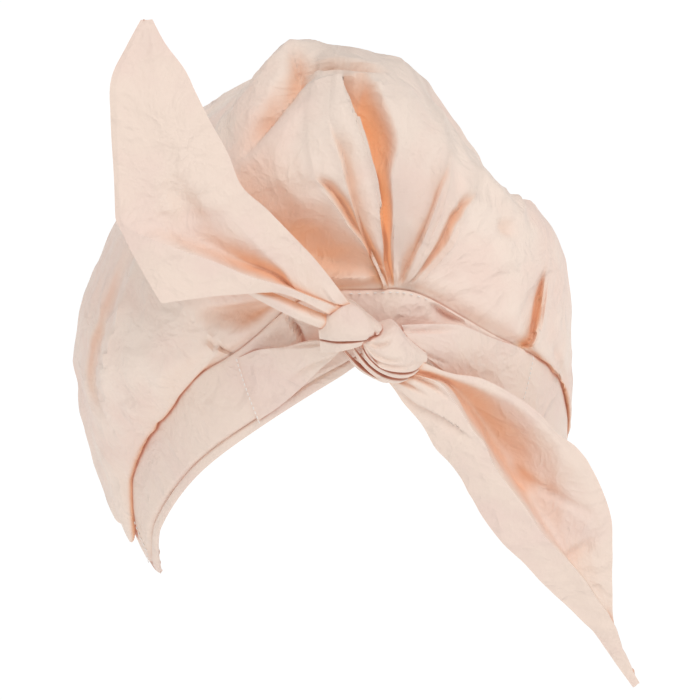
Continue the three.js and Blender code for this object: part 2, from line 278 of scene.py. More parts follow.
def grid_normals(points, around=False):
    """Unit normals of a grid of points, whose last column repeats the first if it goes around."""
    if around:
        ring = points[:-1]
        along_i = np.roll(ring, -1, axis=0) - np.roll(ring, 1, axis=0)
        along_i = np.concatenate([along_i, along_i[:1]])
    else:
        along_i = np.gradient(points, axis=0)
    along_j = np.gradient(points, axis=1)
    normals = np.cross(along_i, along_j)
    size = np.linalg.norm(normals, axis=-1, keepdims=True)
    return normals / np.maximum(size, 1e-9)


FORWARD = np.array((-0.19, -0.93, 0.31))  # the way that forward folds push the cloth
FOLD_STEPS = 6  # steps of a fold's path for each of its rows
FEWEST_STEPS = 12
LEAST_REACH = 0.05
FLAT_START = 1.6  # length over which the start of a flat fold goes down


def fold_push(places, normals, fold, crest):
    """How far a fold pushes each place. fold has rows of x, y, z, left, right and depth.

    Left is the left as seen from outside where the fold runs down, and below where it runs to
    the right. A sharp crest comes to a line, and a soft or a plain forward one is round. A flat
    one has a floor, and its start is as steep as its sides.
    """
    path = curve_through(fold, max(FEWEST_STEPS, len(fold) * FOLD_STEPS))
    fullness = 2.0 if crest == "flat" else 1.0
    push = np.zeros(len(places))
    nearest = np.full(len(places), 1e9)
    for a, b in zip(path[:-1], path[1:]):
        step = b[:3] - a[:3]
        t = np.clip(((places - a[:3]) @ step) / (step @ step), 0.0, 1.0)
        gap = places - a[:3] - t[:, None] * step
        distance = np.linalg.norm(gap, axis=1)
        aside = np.einsum("ij,ij->i", np.cross(step, normals), gap)
        side = np.where(aside > 0.0, blend(a[3], b[3], t), blend(a[4], b[4], t))
        over = np.clip(1.0 - distance / np.maximum(side, LEAST_REACH), 0.0, 1.0)
        shape = over * over if crest.endswith("sharp") else eased(over * fullness)
        closer = distance < nearest
        push[closer] = (blend(a[5], b[5], t) * shape)[closer]
        nearest[closer] = distance[closer]
    if crest == "flat":
        ahead = (path[1, :3] - path[0, :3]) / np.linalg.norm(path[1, :3] - path[0, :3])
        push *= eased(((places - path[0, :3]) @ ahead + FLAT_START / 2.0) / FLAT_START)
    return push


def fold_cloth(points, normals, folds):
    """Moves a grid of points by all its folds.

    Most folds move the cloth along its normals. Forward ones move it to the front, for the
    sides of the cap, which run away from the front.
    """
    flat, facing = points.reshape(-1, 3), normals.reshape(-1, 3)
    push = np.zeros((2, len(flat)))
    for crest, fold in folds:
        forward = int(crest.startswith("forward"))
        push[forward] += fold_push(flat, facing, np.array(fold, float), crest)
    return (flat + facing * push[0][:, None] + FORWARD * push[1][:, None]).reshape(points.shape)


SEED_STEPS = (7.3, 3.1, 5.7)  # how far seeds are apart in the noise
DENT_WARP = 1.5


def crumple(points, size, amount, seed):
    """Heights of small crisp dents, one for each place, as stiff thin cloth keeps them.

    Ridges run where the noise passes 0, and small domes meet in creases between them.
    """
    flat = points.reshape(-1, 3) / size
    heights = np.empty(len(flat))
    shift = Vector([seed * step for step in SEED_STEPS])
    for k, place in enumerate(flat):
        at = Vector(place) + shift
        warp = noise.noise(at * 0.5) * DENT_WARP
        at = at + Vector((warp, -warp, warp))
        near = noise.voronoi(at * 0.9)[0]
        heights[k] = 0.6 - abs(noise.noise(at)) * 2.0 + 1.1 * (near[1] - near[0])
    return (heights * amount).reshape(points.shape[:-1])


# ---------- the crown ----------

# heading, then the distance out and the height of the low overhang, the widest line, the
# shoulder and the top
CROWN_ROWS = np.array([
    [-150, 106, -60, 120, -16, 106, 38, 64, 84],
    [-125, 109.5, -92, 124, -30, 110, 26, 70, 78],
    [-108, 105.5, -104, 123, -35, 110, 20, 72, 79],
    [-98, 103, -106, 122.5, -32, 110.5, 18, 73, 80],
    [-92, 101, -112, 122, -31, 111, 17, 74, 80],
    [-86, 103.5, -78, 121, -29, 111, 17, 74, 80],
    [-60, 101.5, -28, 115, 0, 103, 46, 68, 101],
    [-42, 101, 8, 108, 44, 97, 88, 62, 127],
    [-25, 101, 30, 102, 72, 90, 109, 52, 127],
    [0, 100, 42, 98, 80, 85, 112, 45, 122],
    [30, 101, 14, 98, 58, 71, 91, 43, 110],
    [60, 101.5, -32, 96.5, 36, 57, 60, 37, 83],
    [90, 99, -80, 96, -26, 91, 27, 54, 56],
    [120, 105, -86, 107, -34, 92, 16, 58, 60],
    [150, 104, -62, 115, -18, 98, 36, 60, 78],
    [180, 103, -45, 117, -8, 103, 45, 62, 86],
], float)
# place up the cloth of the seam, of those four lines, of the middle and of the top beyond it
LINE_AT = (0.0, 0.1, 0.35, 0.6, 0.8, 1.0, 1.2)
CROWN_ROUND = 440  # columns of the crown's grid
CROWN_STEPS = 104  # rows of the crown's grid
ROWS_CROWD = 0.4  # how much closer together those rows are near the seam


def crown_table():
    """The rows with some repeated at both ends, so that the curve goes on round the head."""
    rows = CROWN_ROWS
    before, after = rows[-2:].copy(), rows[:1].copy()
    before[:, 0] -= 360.0
    after[:, 0] += 360.0
    return np.concatenate([before, rows, after])


CROWN_TABLE = crown_table()


def smooth_crown(heading, place):
    """Points of the crown before its folds."""
    lines = through(CROWN_TABLE[:, 0], CROWN_TABLE[:, 1:], signed_turn(heading)).T
    middle = np.full(len(heading), CROWN_TOP)
    seam = np.full(len(heading), LOOP_X + SEAM_OUT - SEAM_TUCK)
    out = np.stack([seam, *lines[0::2], 0.0 * middle, -lines[6]])
    up = np.stack([seam_height(heading) + SEAM_GAP, *lines[1::2], middle, lines[7]])
    turn = np.radians(heading)
    far, high = through(LINE_AT, out, place, True), through(LINE_AT, up, place, True)
    return np.stack([far * np.sin(turn), -far * np.cos(turn), high], axis=-1)


CROWDING_AT_SEAM, CROWDING_ABOVE, CROWDED_SPREAD = 0.9, 0.45, 50.0


def thread_heading(thread, place):
    """Threads crowd together at the middle of the front seam and spread out above it."""
    crowding = blend(CROWDING_AT_SEAM, CROWDING_ABOVE, eased(place / LINE_AT[3]))
    return thread * (1.0 - crowding * hump(thread, 0.0, CROWDED_SPREAD))


# Folds of the crown: rows of x, y, z, reach to the left, reach to the right and depth. The first
# ones are the pleats that rise from the middle of the front, which the threads follow.
PLEATS_AT_FRONT = 5
CROWN_FOLDS = [
    # the deep opening above the knot, behind its left lip
    ("flat", [
        [-17, -76, 119.5, 2, 11, -12], [-16.2, -82, 115, 2, 13, -18], [-14.5, -89, 108, 2, 13.5, -21],
        [-11, -91, 94, 2, 14, -22], [-8, -92, 82, 1.8, 9, -19], [-6, -98, 69, 1.6, 5, -14],
        [-5, -101, 55, 1.4, 3, -10], [-3.5, -100, 41, 1.2, 2, -6], [-2, -99, 34, 1.2, 1.6, -2],
    ]),
    # the pleats to the left of the opening
    ("soft", [
        [-34, -94, 83, 1.5, 4, 0], [-30, -95, 79, 1.5, 5, -3], [-24, -97, 71, 1.4, 5, -4.5],
        [-18, -99, 61, 1.4, 4, -4], [-13, -99, 53, 1.2, 3, -3], [-7, -99, 40, 1.2, 2, -2],
        [-4, -99, 33, 1, 2, -1],
    ]),
    ("soft", [
        [-27, -89, 107, 1.5, 6, 0], [-23, -95, 94, 1.4, 8, -2.4], [-19, -98, 75, 1.4, 8, -3],
        [-15, -99, 61, 1.4, 6, -3], [-10, -99, 46, 1.2, 4, -2.5], [-5, -99, 34, 1, 1.5, -1],
    ]),
    # the valleys in the panel to the right of the opening
    ("soft", [
        [27, -85, 90, 8, 2, 0], [23, -91, 79, 14, 1.8, -1.8], [18, -96, 69, 15, 1.6, -2.6],
        [13, -98, 57, 12, 1.4, -3], [6, -99, 42, 6, 1.2, -3.6], [2, -99, 34, 2, 1, -1],
    ]),
    ("soft", [
        [38, -88, 72, 3, 2, 0], [31, -93, 65, 5, 1.6, -3.5], [25, -97, 58, 5, 1.4, -4],
        [21, -98, 51, 4, 1.4, -3], [14, -99, 43, 2, 1.2, -2], [7, -99, 35, 1.5, 1, -1],
    ]),
    # the raised lips of those pleats
    ("sharp", [
        [-20, -77, 118, 7, 1, 0], [-16.5, -90, 107, 8, 1, 1.6], [-13, -91, 94, 8, 1, 2.2],
        [-10, -92, 82, 7, 1, 2.2], [-7.5, -98, 69, 5, 1, 1.8], [-6, -101, 55, 3, 1, 1],
    ]),
    ("sharp", [
        [-34, -95, 79, 9, 1, 0], [-26, -97, 71, 9, 1, 2.4], [-20, -99, 61, 8, 1, 2.8],
        [-14, -99, 53, 5, 1, 1.6], [-8, -99, 40, 3, 1, 0.5],
    ]),
    ("sharp", [
        [-28, -89, 105, 8, 1, 0], [-24, -95, 92, 8, 1, 1.4], [-20, -98, 75, 6, 1, 1.4],
        [-16, -99, 61, 4, 1, 1], [-11, -99, 46, 3, 1, 0.5],
    ]),
    ("sharp", [
        [9, -84, 102, 1, 5, 0], [6, -87, 94, 1, 7, 1.8], [2.5, -88, 82, 1, 8, 2.4],
        [0, -92, 69, 1, 7, 2.4], [-1.5, -99, 56, 1, 4, 1.6], [-1, -100, 41, 1, 3, 1],
    ]),
    ("sharp", [
        [26, -89, 84, 1.6, 5, 0], [21, -96, 69, 1.6, 6, 1.8], [16, -98, 57, 1.6, 5, 1.8],
        [9, -99, 42, 1.4, 3, 1],
    ]),
    ("sharp", [
        [33, -94, 64, 1.6, 7, 0], [24, -98, 50, 1.6, 8, 1.8], [17, -99, 42, 1.6, 6, 1.6],
        [10, -99, 34, 1.4, 4, 0.8],
    ]),
    # the broad hollow on the left, which ends at the ledge under it
    ("soft", [
        [-72, -71, 68, 8, 20, 0], [-63, -79, 57, 8, 32, -6], [-53, -87, 50, 6, 38, -11],
        [-43, -93, 46, 4, 38, -13], [-33, -95, 43, 3.6, 34, -12], [-22, -98, 42, 3.4, 24, -9],
        [-10, -99, 41.5, 3, 12, -3],
    ]),
    ("sharp", [
        [-46, -92, 43, 6, 2, 0], [-37, -95, 41, 8, 2, 2], [-26, -98, 40, 8, 2, 3],
        [-12, -99, 39.5, 6, 2, 1.5],
    ]),
    # the crease down from the peak and the flat cloth on both sides of it
    ("sharp", [
        [-36, -46, 129, 6, 6, -1], [-34, -57, 125, 8, 9, -7], [-37, -68, 117, 9, 12, -11],
        [-47, -73, 108, 9, 11, -10], [-57, -76, 98, 8, 9, -7], [-64, -78, 86, 6, 7, 0],
    ]),
    ("sharp", [
        [-44, -36, 124, 7, 8, 0], [-36, -47, 128, 6, 8, 2], [-34, -34, 129, 8, 9, 1.4],
        [-30, 0, 128, 12, 12, 0],
    ]),
    ("soft", [
        [-74, -38, 98, 12, 12, -1], [-62, -43, 110, 13, 13, -4], [-51, -46, 119, 12, 12, -5.5],
        [-44, -47, 124, 7, 9, -3.5],
    ]),
    # the far corner of the roof
    ("sharp", [
        [6, -64, 115, 9, 9, 0], [11, -54, 116, 10, 10, 1.6], [14, -38, 117, 12, 12, 2],
        [18, -10, 116, 12, 12, 0],
    ]),
    ("soft", [
        [24, -54, 110, 12, 12, -1], [31, -56, 101, 12, 12, -2.5], [38, -62, 90, 12, 12, -2.5],
    ]),
    # the saddle between the front pleats and the right lobe
    ("soft", [
        [45, -72, 76, 9, 8, 0], [53, -60, 70, 13, 10, -9], [64, -44, 60, 15, 12, -12],
        [75, -22, 50, 16, 13, -10], [82, 6, 44, 14, 12, -2],
    ]),
    ("sharp", [
        [20, -76, 98, 6, 6, 0], [30, -79, 84, 8, 8, 2.5], [41, -80, 73, 8, 10, 3.5],
        [52, -78, 62, 6, 8, 1.5], [60, -74, 54, 6, 8, 0],
    ]),
    # the crease along the roof and the edge in front of it
    ("soft", [
        [-33, -61, 125, 4, 4, -2], [-27, -64, 124, 4, 5, -6], [-16, -67, 122, 4, 6, -8],
        [-4, -67, 121, 4, 5, -6.5], [4, -64, 119, 4, 4, 0],
    ]),
    ("sharp", [
        [-44, -72, 111, 4, 2, 0], [-33, -73, 118, 6, 2, 4], [-20, -76, 118.5, 7, 2, 4.5],
        [-8, -77, 117.5, 6, 2, 3], [3, -79, 114, 5, 2, 0],
    ]),
    # the dimple and the long fold on the right
    ("soft", [[47, -88, 56, 5, 6, 0], [52, -86, 53, 7, 6, -4.5], [58, -82, 49, 5, 5, 0]]),
    ("forward", [
        [73, -70, 33, 6, 3, 0], [71, -71.5, 25, 13, 2.6, -3], [69.5, -72.5, 16, 16, 2.6, -5.5],
        [68, -73.5, 8, 16, 2.6, -6], [65.5, -75, 0, 13, 2.4, -5.5], [62, -78, -7, 9, 2.2, -4.5],
        [60, -80, -11, 5, 2, -2],
    ]),
    ("forward", [
        [72, -71, 28, 8, 4, 0], [68, -74, 18, 12, 4, -3], [66, -75.5, 8, 12, 4, -4],
        [63, -77.5, -2, 9, 3, -3.5], [60, -80, -9, 5, 3, -1],
    ]),
    ("forward sharp", [
        [76, -68, 28, 2, 8, 0], [73.5, -69, 19, 1.6, 10, 2], [72, -70, 12, 1.6, 10, 3],
        [69.5, -71.6, 3, 1.6, 8, 3], [66, -74.6, -4, 1.6, 5, 2], [62.5, -77.5, -10, 1.6, 3, 0],
    ]),
    ("forward sharp", [
        [61, -79, -11, 3, 2, 0], [65, -75, -6, 4, 2, 2.5], [70, -70, -1, 5, 2, 3.5],
        [76, -64, -4, 4, 2, 2], [80, -60, -7, 3, 2, 0],
    ]),
    ("forward", [
        [73, -67, -4, 2, 3, 0], [76, -63, -12, 2, 6, -5], [80, -58, -22, 2, 7, -7],
        [85, -50, -34, 2, 7, -7], [88, -42, -46, 2, 5, -3],
    ]),
    ("sharp", [
        [50, -88, 40, 6, 6, 0], [52, -87, 52, 6, 6, 2], [58, -80, 60, 6, 6, 2.5], [66, -66, 60, 6, 6, 0],
    ]),
    # the tuck at the left temple, a valley and the lip over it
    ("forward", [
        [-79, -69.8, 7, 2.6, 2.4, 0], [-75.5, -70.3, 4.2, 2.6, 2.4, -3],
        [-72, -71.4, 2, 2.6, 2.4, -4], [-68.5, -72.4, 0.2, 2.6, 2, -3.4],
        [-66, -72, -1.6, 2, 2, -2],
    ]),
    ("forward sharp", [
        [-79.5, -70.2, 9.8, 4, 2.6, 0], [-76, -70.8, 7.6, 5, 2.4, 1.8],
        [-73, -71.6, 5.6, 5, 2.4, 1.8], [-69.5, -72.8, 3.6, 3, 2, 0],
    ]),
    # the ridge and the hollow strip down the left lobe
    ("forward sharp", [
        [-98, -40, 48, 2, 8, 0], [-103, -32, 28, 2, 10, 4], [-110, -33, 9, 2, 14, 6],
        [-117, -30, -10, 2, 16, 6], [-120, -24, -33, 2, 14, 5], [-117, -24, -54, 2, 8, 0],
    ]),
    ("forward", [
        [-98, -34, 44, 10, 2.4, 0], [-104, -26, 27, 13, 2.4, -6], [-111, -27, 10, 14, 2.4, -9],
        [-118, -23, -12, 14, 2.4, -10], [-120.5, -18, -35, 12, 2.4, -8], [-117, -18, -52, 9, 2.4, 0],
    ]),
    # creases that run down from the left lobe to the seam
    ("sharp", [
        [-112, -34, -20, 6, 4, 0], [-108, -38, -34, 7, 3, 2.5], [-102, -38, -46, 6, 3, 2],
        [-97, -34, -56, 4, 3, 0],
    ]),
    ("sharp", [[-104, -50, 2, 6, 4, 0], [-98, -55, -10, 7, 3, 2], [-91, -56, -22, 5, 3, 0]]),
    ("soft", [
        [-118, -14, -50, 6, 6, 0], [-114, -16, -66, 7, 7, -4], [-108, -14, -80, 6, 6, -3],
        [-104, -10, -88, 4, 4, 0],
    ]),
    # the dent under the upper tie end
    ("soft", [
        [-46, -90, 26, 6, 6, 0], [-56, -85, 21, 8, 9, -6], [-64, -80, 18, 8, 9, -8],
        [-72, -76, 17, 8, 9, -6], [-81, -72, 20, 6, 6, 0],
    ]),
]


def on_crown(point):
    """Thread and place up the cloth of a point of the crown."""
    heading = math.degrees(math.atan2(point[0], -point[1]))
    places = np.linspace(0.0, 1.0, 401)
    profile = smooth_crown(np.full(len(places), heading), places)
    place = places[np.argmin(np.linalg.norm(profile - np.array(point[:3], float), axis=1))]
    threads = np.linspace(-180.0, 180.0, 3601)
    return np.interp(heading, thread_heading(threads, place), threads), place


# How close together the columns are: at the back, added over the front, added at each pleat
# and added at the threads of the small folds on the sides.
AT_BACK, OVER_FRONT, FRONT_SPREAD = 0.45, 1.1, 62.0
AT_PLEATS, PLEAT_SPREAD = 3.0, 2.2
AT_SMALL_FOLDS, SMALL_FOLD_SPREAD = 0.9, 7.0
SMALL_FOLD_THREADS = (-90.0, -58.0, 58.0)
STRAIGHT_FROM = 70.0  # threads this far round run straight up, not with the pleats


def crown_columns(places):
    """Threads of the crown's columns at each place. They follow the pleats at the front."""
    runs = []
    for _, fold in CROWN_FOLDS[:PLEATS_AT_FRONT]:
        marks = np.array([on_crown(row) for row in fold])
        marks = marks[np.argsort(marks[:, 1])]
        runs.append(np.interp(places, marks[:, 1], marks[:, 0]))
    runs = np.array(sorted(runs, key=lambda run: run.mean()))
    labels = runs.mean(axis=1)
    fine = np.linspace(-180.0, 180.0, 7201)
    density = AT_BACK + OVER_FRONT * np.exp(-((fine / FRONT_SPREAD) ** 4))
    for label in labels:
        density += AT_PLEATS * hump(fine, label, PLEAT_SPREAD)
    for thread in SMALL_FOLD_THREADS:
        density += AT_SMALL_FOLDS * hump(fine, thread, SMALL_FOLD_SPREAD)
    share = np.cumsum(density)
    share = (share - share[0]) / (share[-1] - share[0])
    columns = np.interp(np.linspace(0.0, 1.0, CROWN_ROUND + 1), share, fine)
    for label in labels:
        columns[np.argmin(np.abs(columns - label))] = label
    left, right = (-180.0, -STRAIGHT_FROM), (STRAIGHT_FROM, 180.0)
    guides = np.concatenate([left, labels, right])
    rows = []
    for run in runs.T:
        rows.append(np.interp(columns, guides, np.concatenate([left, run, right])))
    return np.array(rows).T


SMALL_GATHER, LARGE_GATHER = 2.4, 4.2  # heights of the gathers
GATHERS_FROM, GATHERS_BUILD_OVER = 88.0, 20.0


def gathers(thread, place):
    """Gathers over the elastic casing: small ones close to the seam and large ones above."""
    over_casing = eased((np.abs(thread) - GATHERS_FROM) / GATHERS_BUILD_OVER)
    close = uneven_wave(thread, 0.95, (2.2, 0.21), (1.3, 0.083))
    wide = uneven_wave(thread, 0.37, (1.7, 0.11))
    small = SMALL_GATHER * close * eased(place / 0.04) * np.exp(-place / 0.13)
    large = LARGE_GATHER * wide * eased(place / 0.12) * hump(place, 0.0, 0.42)
    return over_casing * (small + large)


def make_crown():
    even = np.linspace(0.0, 1.0, CROWN_STEPS + 1)
    places = blend(even, eased(even * 0.5) * 2.0, ROWS_CROWD)
    thread = crown_columns(places)
    place = np.tile(places, (CROWN_ROUND + 1, 1))
    heading = thread_heading(thread, place)
    points = smooth_crown(heading.ravel(), place.ravel()).reshape(thread.shape + (3,))
    normals = grid_normals(points, around=True)
    normals[:, -2:] = (0.0, 0.0, 1.0)
    points = fold_cloth(points, normals, CROWN_FOLDS)
    push = gathers(thread, place) + crumple(points, 26.0, 1.1, 1) * eased(place / 0.08)
    push[:, -1] = push[0, -1]
    push[-1] = push[0]
    points = points + normals * push[..., None]
    return grid_piece("crown_cloth", points, CLOTH, (0.62, 0.22), close=True)


# ---------- the headband and the casing ----------

# Folds of the band on both sides of the knot, with rows like the crown's, as all that follow.
BAND_FOLDS = [
    ("soft", [
        [-46, -88.5, 20, 1.2, 3, -1], [-43.5, -90, 15, 1.1, 4, -4.5], [-41, -91.5, 10, 1.1, 4, -5],
        [-38.5, -92.5, 3, 1, 3, -3],
    ]),
    ("soft", [
        [14, -98, 24, 4, 2, 0], [20, -98, 21, 6, 2, -3.5], [25, -97, 17.5, 6, 1.6, -4.5],
        [30, -95, 14, 3, 1.4, -2],
    ]),
    ("soft", [[-60, -80, 2, 5, 5, 0], [-50, -87, 8, 6, 6, -2], [-42, -92, 13, 5, 5, -1]]),
]
HEM = 0.13  # share of the band's height that is turned in along its lower edge
HEM_STEP = 1.0  # how far the turned-in part stands back
HEM_LINE, HEM_LINE_SPREAD = 1.3, 0.02  # depth and spread of the line where it begins
EDGE_ROLL = 0.9  # how far the edges of the band and the casing are rolled in
CASING_GAP = 0.18  # heading left free between band and casing
CASING_ENDS = 6.0  # heading over which the ruffles start at the ends of the casing
RUFFLE, CHANNEL = 0.75, 0.8  # heights of the ruffles and of the channel of the elastic


def rolled_edges(share, low, high):
    """The edges of a band drawn in, over the given shares at its lower and upper edge."""
    return -EDGE_ROLL * np.exp(-share / low) - EDGE_ROLL * np.exp(-(1.0 - share) / high)


def make_band():
    headings, shares = np.linspace(-BAND_END, BAND_END, 420), np.linspace(0.0, 1.0, 56)
    heading, share = np.meshgrid(headings, shares, indexing="ij")
    hem = np.where(share < HEM, -HEM_STEP, 0.0) - HEM_LINE * hump(share, HEM, HEM_LINE_SPREAD)
    points = loop_grid(heading, share, BAND_WALL + hem + rolled_edges(share, 0.012, 0.02))
    normals = grid_normals(points)
    points = fold_cloth(points, normals, BAND_FOLDS)
    points += normals * (crumple(points, 24.0, 0.45, 2) * np.sin(math.pi * share))[..., None]
    return grid_piece("headband_cloth", points, DOUBLED, (0.36, 0.033))


def make_casing():
    start, end = BAND_END + CASING_GAP, 360.0 - BAND_END - CASING_GAP
    headings, shares = np.linspace(start, end, 760), np.linspace(0.0, 1.0, 25)
    heading, share = np.meshgrid(headings, shares, indexing="ij")
    wave = uneven_wave(heading, 2.35, (1.6, 0.43), (1.1, 0.171))
    ends = eased((heading - BAND_END) / CASING_ENDS)
    ends = ends * eased((360.0 - BAND_END - heading) / CASING_ENDS)
    channel = np.sin(math.pi * share) ** 0.6
    ruffle = ends * (RUFFLE * wave * (1.0 - 0.45 * channel) + CHANNEL * channel)
    points = loop_grid(heading, share, BAND_WALL + ruffle + rolled_edges(share, 0.02, 0.02))
    return grid_piece("casing_cloth", points, DOUBLED, (0.42, 0.024))


# ---------- straps and tie ends ----------

def loft(lines, steps, across):
    """A grid of points over lines along a cloth, given in order across it from high to low.

    Each line is a mark and its points. The curve across breaks at a line marked sharp.
    """
    ribs = np.stack([curve_through(points, steps + 1) for _, points in lines])
    sharp = [True] + [mark == "sharp" for mark, _ in lines[1:-1]] + [True]
    parts = []
    start = 0
    for k in range(1, len(lines)):
        if not sharp[k]:
            continue
        run = ribs[start:k + 1]
        count = across * (k - start)
        rows = np.linspace(0.0, k - start, count + 1)
        if k - start == 1:
            part = blend(run[0][None], run[1][None], rows[:, None, None])
        else:
            part = through(np.arange(k - start + 1), run.reshape(len(run), -1), rows)
            part = part.reshape(len(rows), steps + 1, 3)
        parts.append(part if start == 0 else part[1:])
        start = k
    return np.concatenate(parts).transpose(1, 0, 2)


# Lines along the upper tie end, from the knot to its tip: x, y, z. The curve across the cloth
# breaks at the sharp ones.
TAIL_UPPER = [
    ("sharp", [  # the long outer edge
        [-22, -113, 30], [-32, -112, 44], [-39, -111, 53], [-47, -110, 62], [-57, -109, 73],
        [-68, -108, 84], [-73, -105, 97], [-81, -102, 113], [-86, -99, 124], [-90, -97, 133],
        [-98, -93, 144], [-102, -90, 153],
    ]),
    ("sharp", [  # the fold beside that edge
        [-24, -113, 30], [-45, -111, 38], [-50, -110, 46], [-57, -110, 53], [-64, -110, 61],
        [-72, -109, 71], [-84, -108, 84], [-92, -106, 97], [-98, -103, 113], [-101, -99, 129],
        [-103, -95, 143], [-103.5, -90.5, 153],
    ]),
    ("smooth", [  # the hollow
        [-26, -112, 30], [-46, -107.5, 38], [-55, -104.5, 44], [-66, -103, 49], [-77, -103, 56],
        [-92, -103, 66], [-104, -103.5, 77], [-110, -103, 90], [-112, -101, 109], [-112, -98, 125],
        [-109, -94, 141], [-104.5, -90.5, 153],
    ]),
    ("sharp", [  # the upper edge of the flap
        [-28, -113, 29], [-45, -114, 38], [-55, -114, 42], [-66, -114, 46], [-78, -113.5, 52],
        [-95, -112, 59], [-107, -110, 64], [-118, -105, 70], [-119, -103, 88], [-119, -99, 116],
        [-118, -97, 130], [-112, -94, 142], [-105.5, -90, 153],
    ]),
    ("smooth", [  # the lower edge
        [-32, -113, 27], [-44, -113, 34], [-55, -112, 38], [-68, -112, 38], [-86, -111, 37],
        [-100, -109, 35.4], [-102.6, -108.5, 35], [-104, -108.3, 37], [-112, -107, 52],
        [-119, -104.4, 67], [-120.8, -104, 71], [-121, -103.6, 75], [-121, -102, 88],
        [-121.5, -98, 116], [-120.5, -96, 130], [-114, -93, 142], [-107, -90, 153],
    ]),
]
# Lines along the hanging tie end, in the same way.
TAIL_HANGING = [
    ("sharp", [  # the outer edge
        [8, -112, 3], [22, -109, -4], [36, -107, -8], [49, -105, -16], [63, -104, -27],
        [71, -103, -37], [80, -102, -44], [88, -101, -56], [93, -100, -67], [97, -99, -80],
        [98, -98, -92], [99, -96, -115], [100, -95, -129], [105, -93, -146], [114, -90, -162],
    ]),
    ("smooth", [  # the slope down from it
        [7, -112, 0], [22, -109, -6], [36, -107, -13], [49, -106, -21], [62, -105, -33],
        [73, -104, -47], [82, -103, -60], [88, -101, -76], [92, -99, -94], [95, -97, -114],
        [99, -95, -133], [107, -93, -148], [113, -90, -162.5],
    ]),
    ("smooth", [  # the hollow
        [6, -111, -2], [20, -106, -9], [30, -99, -19], [38, -93, -30], [46, -91, -42],
        [54, -92, -54], [62, -95, -67], [71, -98, -82], [81, -99, -99], [92, -98, -116],
        [99, -96, -131], [106, -94, -147], [112.5, -90, -163],
    ]),
    ("sharp", [  # the ridge
        [5, -113, -2], [16, -115, -6], [22, -116, -14], [29, -116, -26], [36, -115, -36],
        [42, -114, -48], [50, -112, -60], [58, -110, -72], [66, -108, -84], [80, -105, -100],
        [92, -101, -118], [99, -98, -129], [105, -95, -145], [112, -90, -163.5],
    ]),
    ("smooth", [  # the slope in front of it
        [-2, -113, -4], [8, -114, -11], [15, -114, -20], [22, -113, -32], [30, -112, -44],
        [37, -111, -56], [45, -109, -68], [53, -107, -80], [62, -105, -91], [75, -102, -106],
        [87, -99, -121], [95, -97, -132], [105, -94, -149], [111.5, -90, -163.7],
    ]),
    ("sharp", [  # the inner edge
        [-6, -112, -5], [0, -111, -14], [9, -110, -26], [16, -109, -38], [23, -108, -46],
        [30, -107, -58], [37, -106, -71], [46, -105, -84], [56, -103, -95], [69, -100, -110],
        [82, -97, -124], [91, -95, -134], [105, -92, -155], [111, -90, -164],
    ]),
]
# Pleats that fan out from the knot over both straps.
STRAP_FOLDS = [
    ("soft", [
        [0, -112, 16.6, 1.2, 3, -1], [9, -108.6, 14.8, 1.2, 3.4, -1.8],
        [19, -104.4, 13.4, 1.2, 3, -1.4], [28, -101, 12, 1, 2, 0],
    ]),
    ("soft", [
        [7, -109, 5.4, 1.2, 2.4, -1], [15, -105, 1, 1.2, 2.6, -1.4], [25, -100.6, -5, 1.2, 2, 0],
    ]),
    ("soft", [
        [-30, -108.6, 12.6, 2, 1.2, -1], [-41, -98.6, 9, 2.6, 1.2, -1.4], [-54, -87, 5, 2, 1, 0],
    ]),
    ("soft", [
        [-30, -108, 6, 1.2, 2, -0.8], [-40, -98, -2, 1.2, 2.4, -1.2], [-50, -88.6, -12, 1, 2, 0],
    ]),
]
# Lines along the straps, from the upper edge to the lower.
STRAP_LEFT = [
    ("sharp", [
        [-64.6, -76.2, -2.2], [-57.6, -83.6, 3.2], [-47, -94.1, 7.4], [-37, -102, 11.6],
        [-26, -112, 14],
    ]),
    ("smooth", [
        [-61, -78.7, -15], [-53.5, -86.3, -8], [-45, -95, -1], [-36, -103, 6], [-26, -112, 12.5],
    ]),
    ("sharp", [
        [-57, -80.6, -30], [-49, -87, -22], [-42, -94, -13], [-33, -103, 0], [-26, -111, 10],
    ]),
]
STRAP_RIGHT = [
    ("sharp", [
        [0, -111, 19.5], [14, -106, 17.5], [28, -101, 14.5], [44, -91.5, 5], [58, -80.5, -3.5],
    ]),
    ("smooth", [[2, -111, 15], [14, -106, 10], [27, -101, 3], [43, -91.5, -7], [57.5, -81, -17]]),
    ("sharp", [[4, -110, 9], [13, -105, 2], [24, -99, -8], [40, -90, -18], [57, -80, -32]]),
]


def lofted_piece(name, lines, size, folds, seed, dents, steps=150, across=16):
    """A cloth over lines, turned to face the front, with its folds and dents.

    steps is the count along it, and across the count from each line to the next.
    """
    points = loft(lines, steps, across)
    normals = grid_normals(points)
    if normals[..., 1].mean() > 0.0:
        points, normals = points[:, ::-1], -normals[:, ::-1]
    points = fold_cloth(points, normals, folds)
    points = points + normals * crumple(points, 24.0, dents, seed)[..., None]
    return grid_piece(name, points, CLOTH, size)


# The cloth turned under the upper tie end where it is drawn into the knot.
UNDER_STRIP = [
    ("sharp", [
        [-30, -110, 25], [-36, -110, 27.5], [-44, -109.5, 31.5], [-54, -108, 36], [-63, -105, 39],
        [-70, -101, 40],
    ]),
    ("smooth", [
        [-29.5, -113.5, 22], [-36, -113, 24.5], [-44, -112.5, 28], [-53, -111, 32.5],
        [-62, -107.5, 36.5], [-69, -102, 38.5],
    ]),
    ("sharp", [
        [-30, -112.5, 18.5], [-35, -112.5, 20.8], [-43, -111.5, 24], [-51, -110, 27.8],
        [-61, -106, 33], [-67, -101, 36.5],
    ]),
    ("sharp", [
        [-30, -107, 19.5], [-35, -107, 22], [-43, -106.5, 25.5], [-52, -105, 29.5],
        [-61, -102, 34.5], [-67, -98, 37.5],
    ]),
]
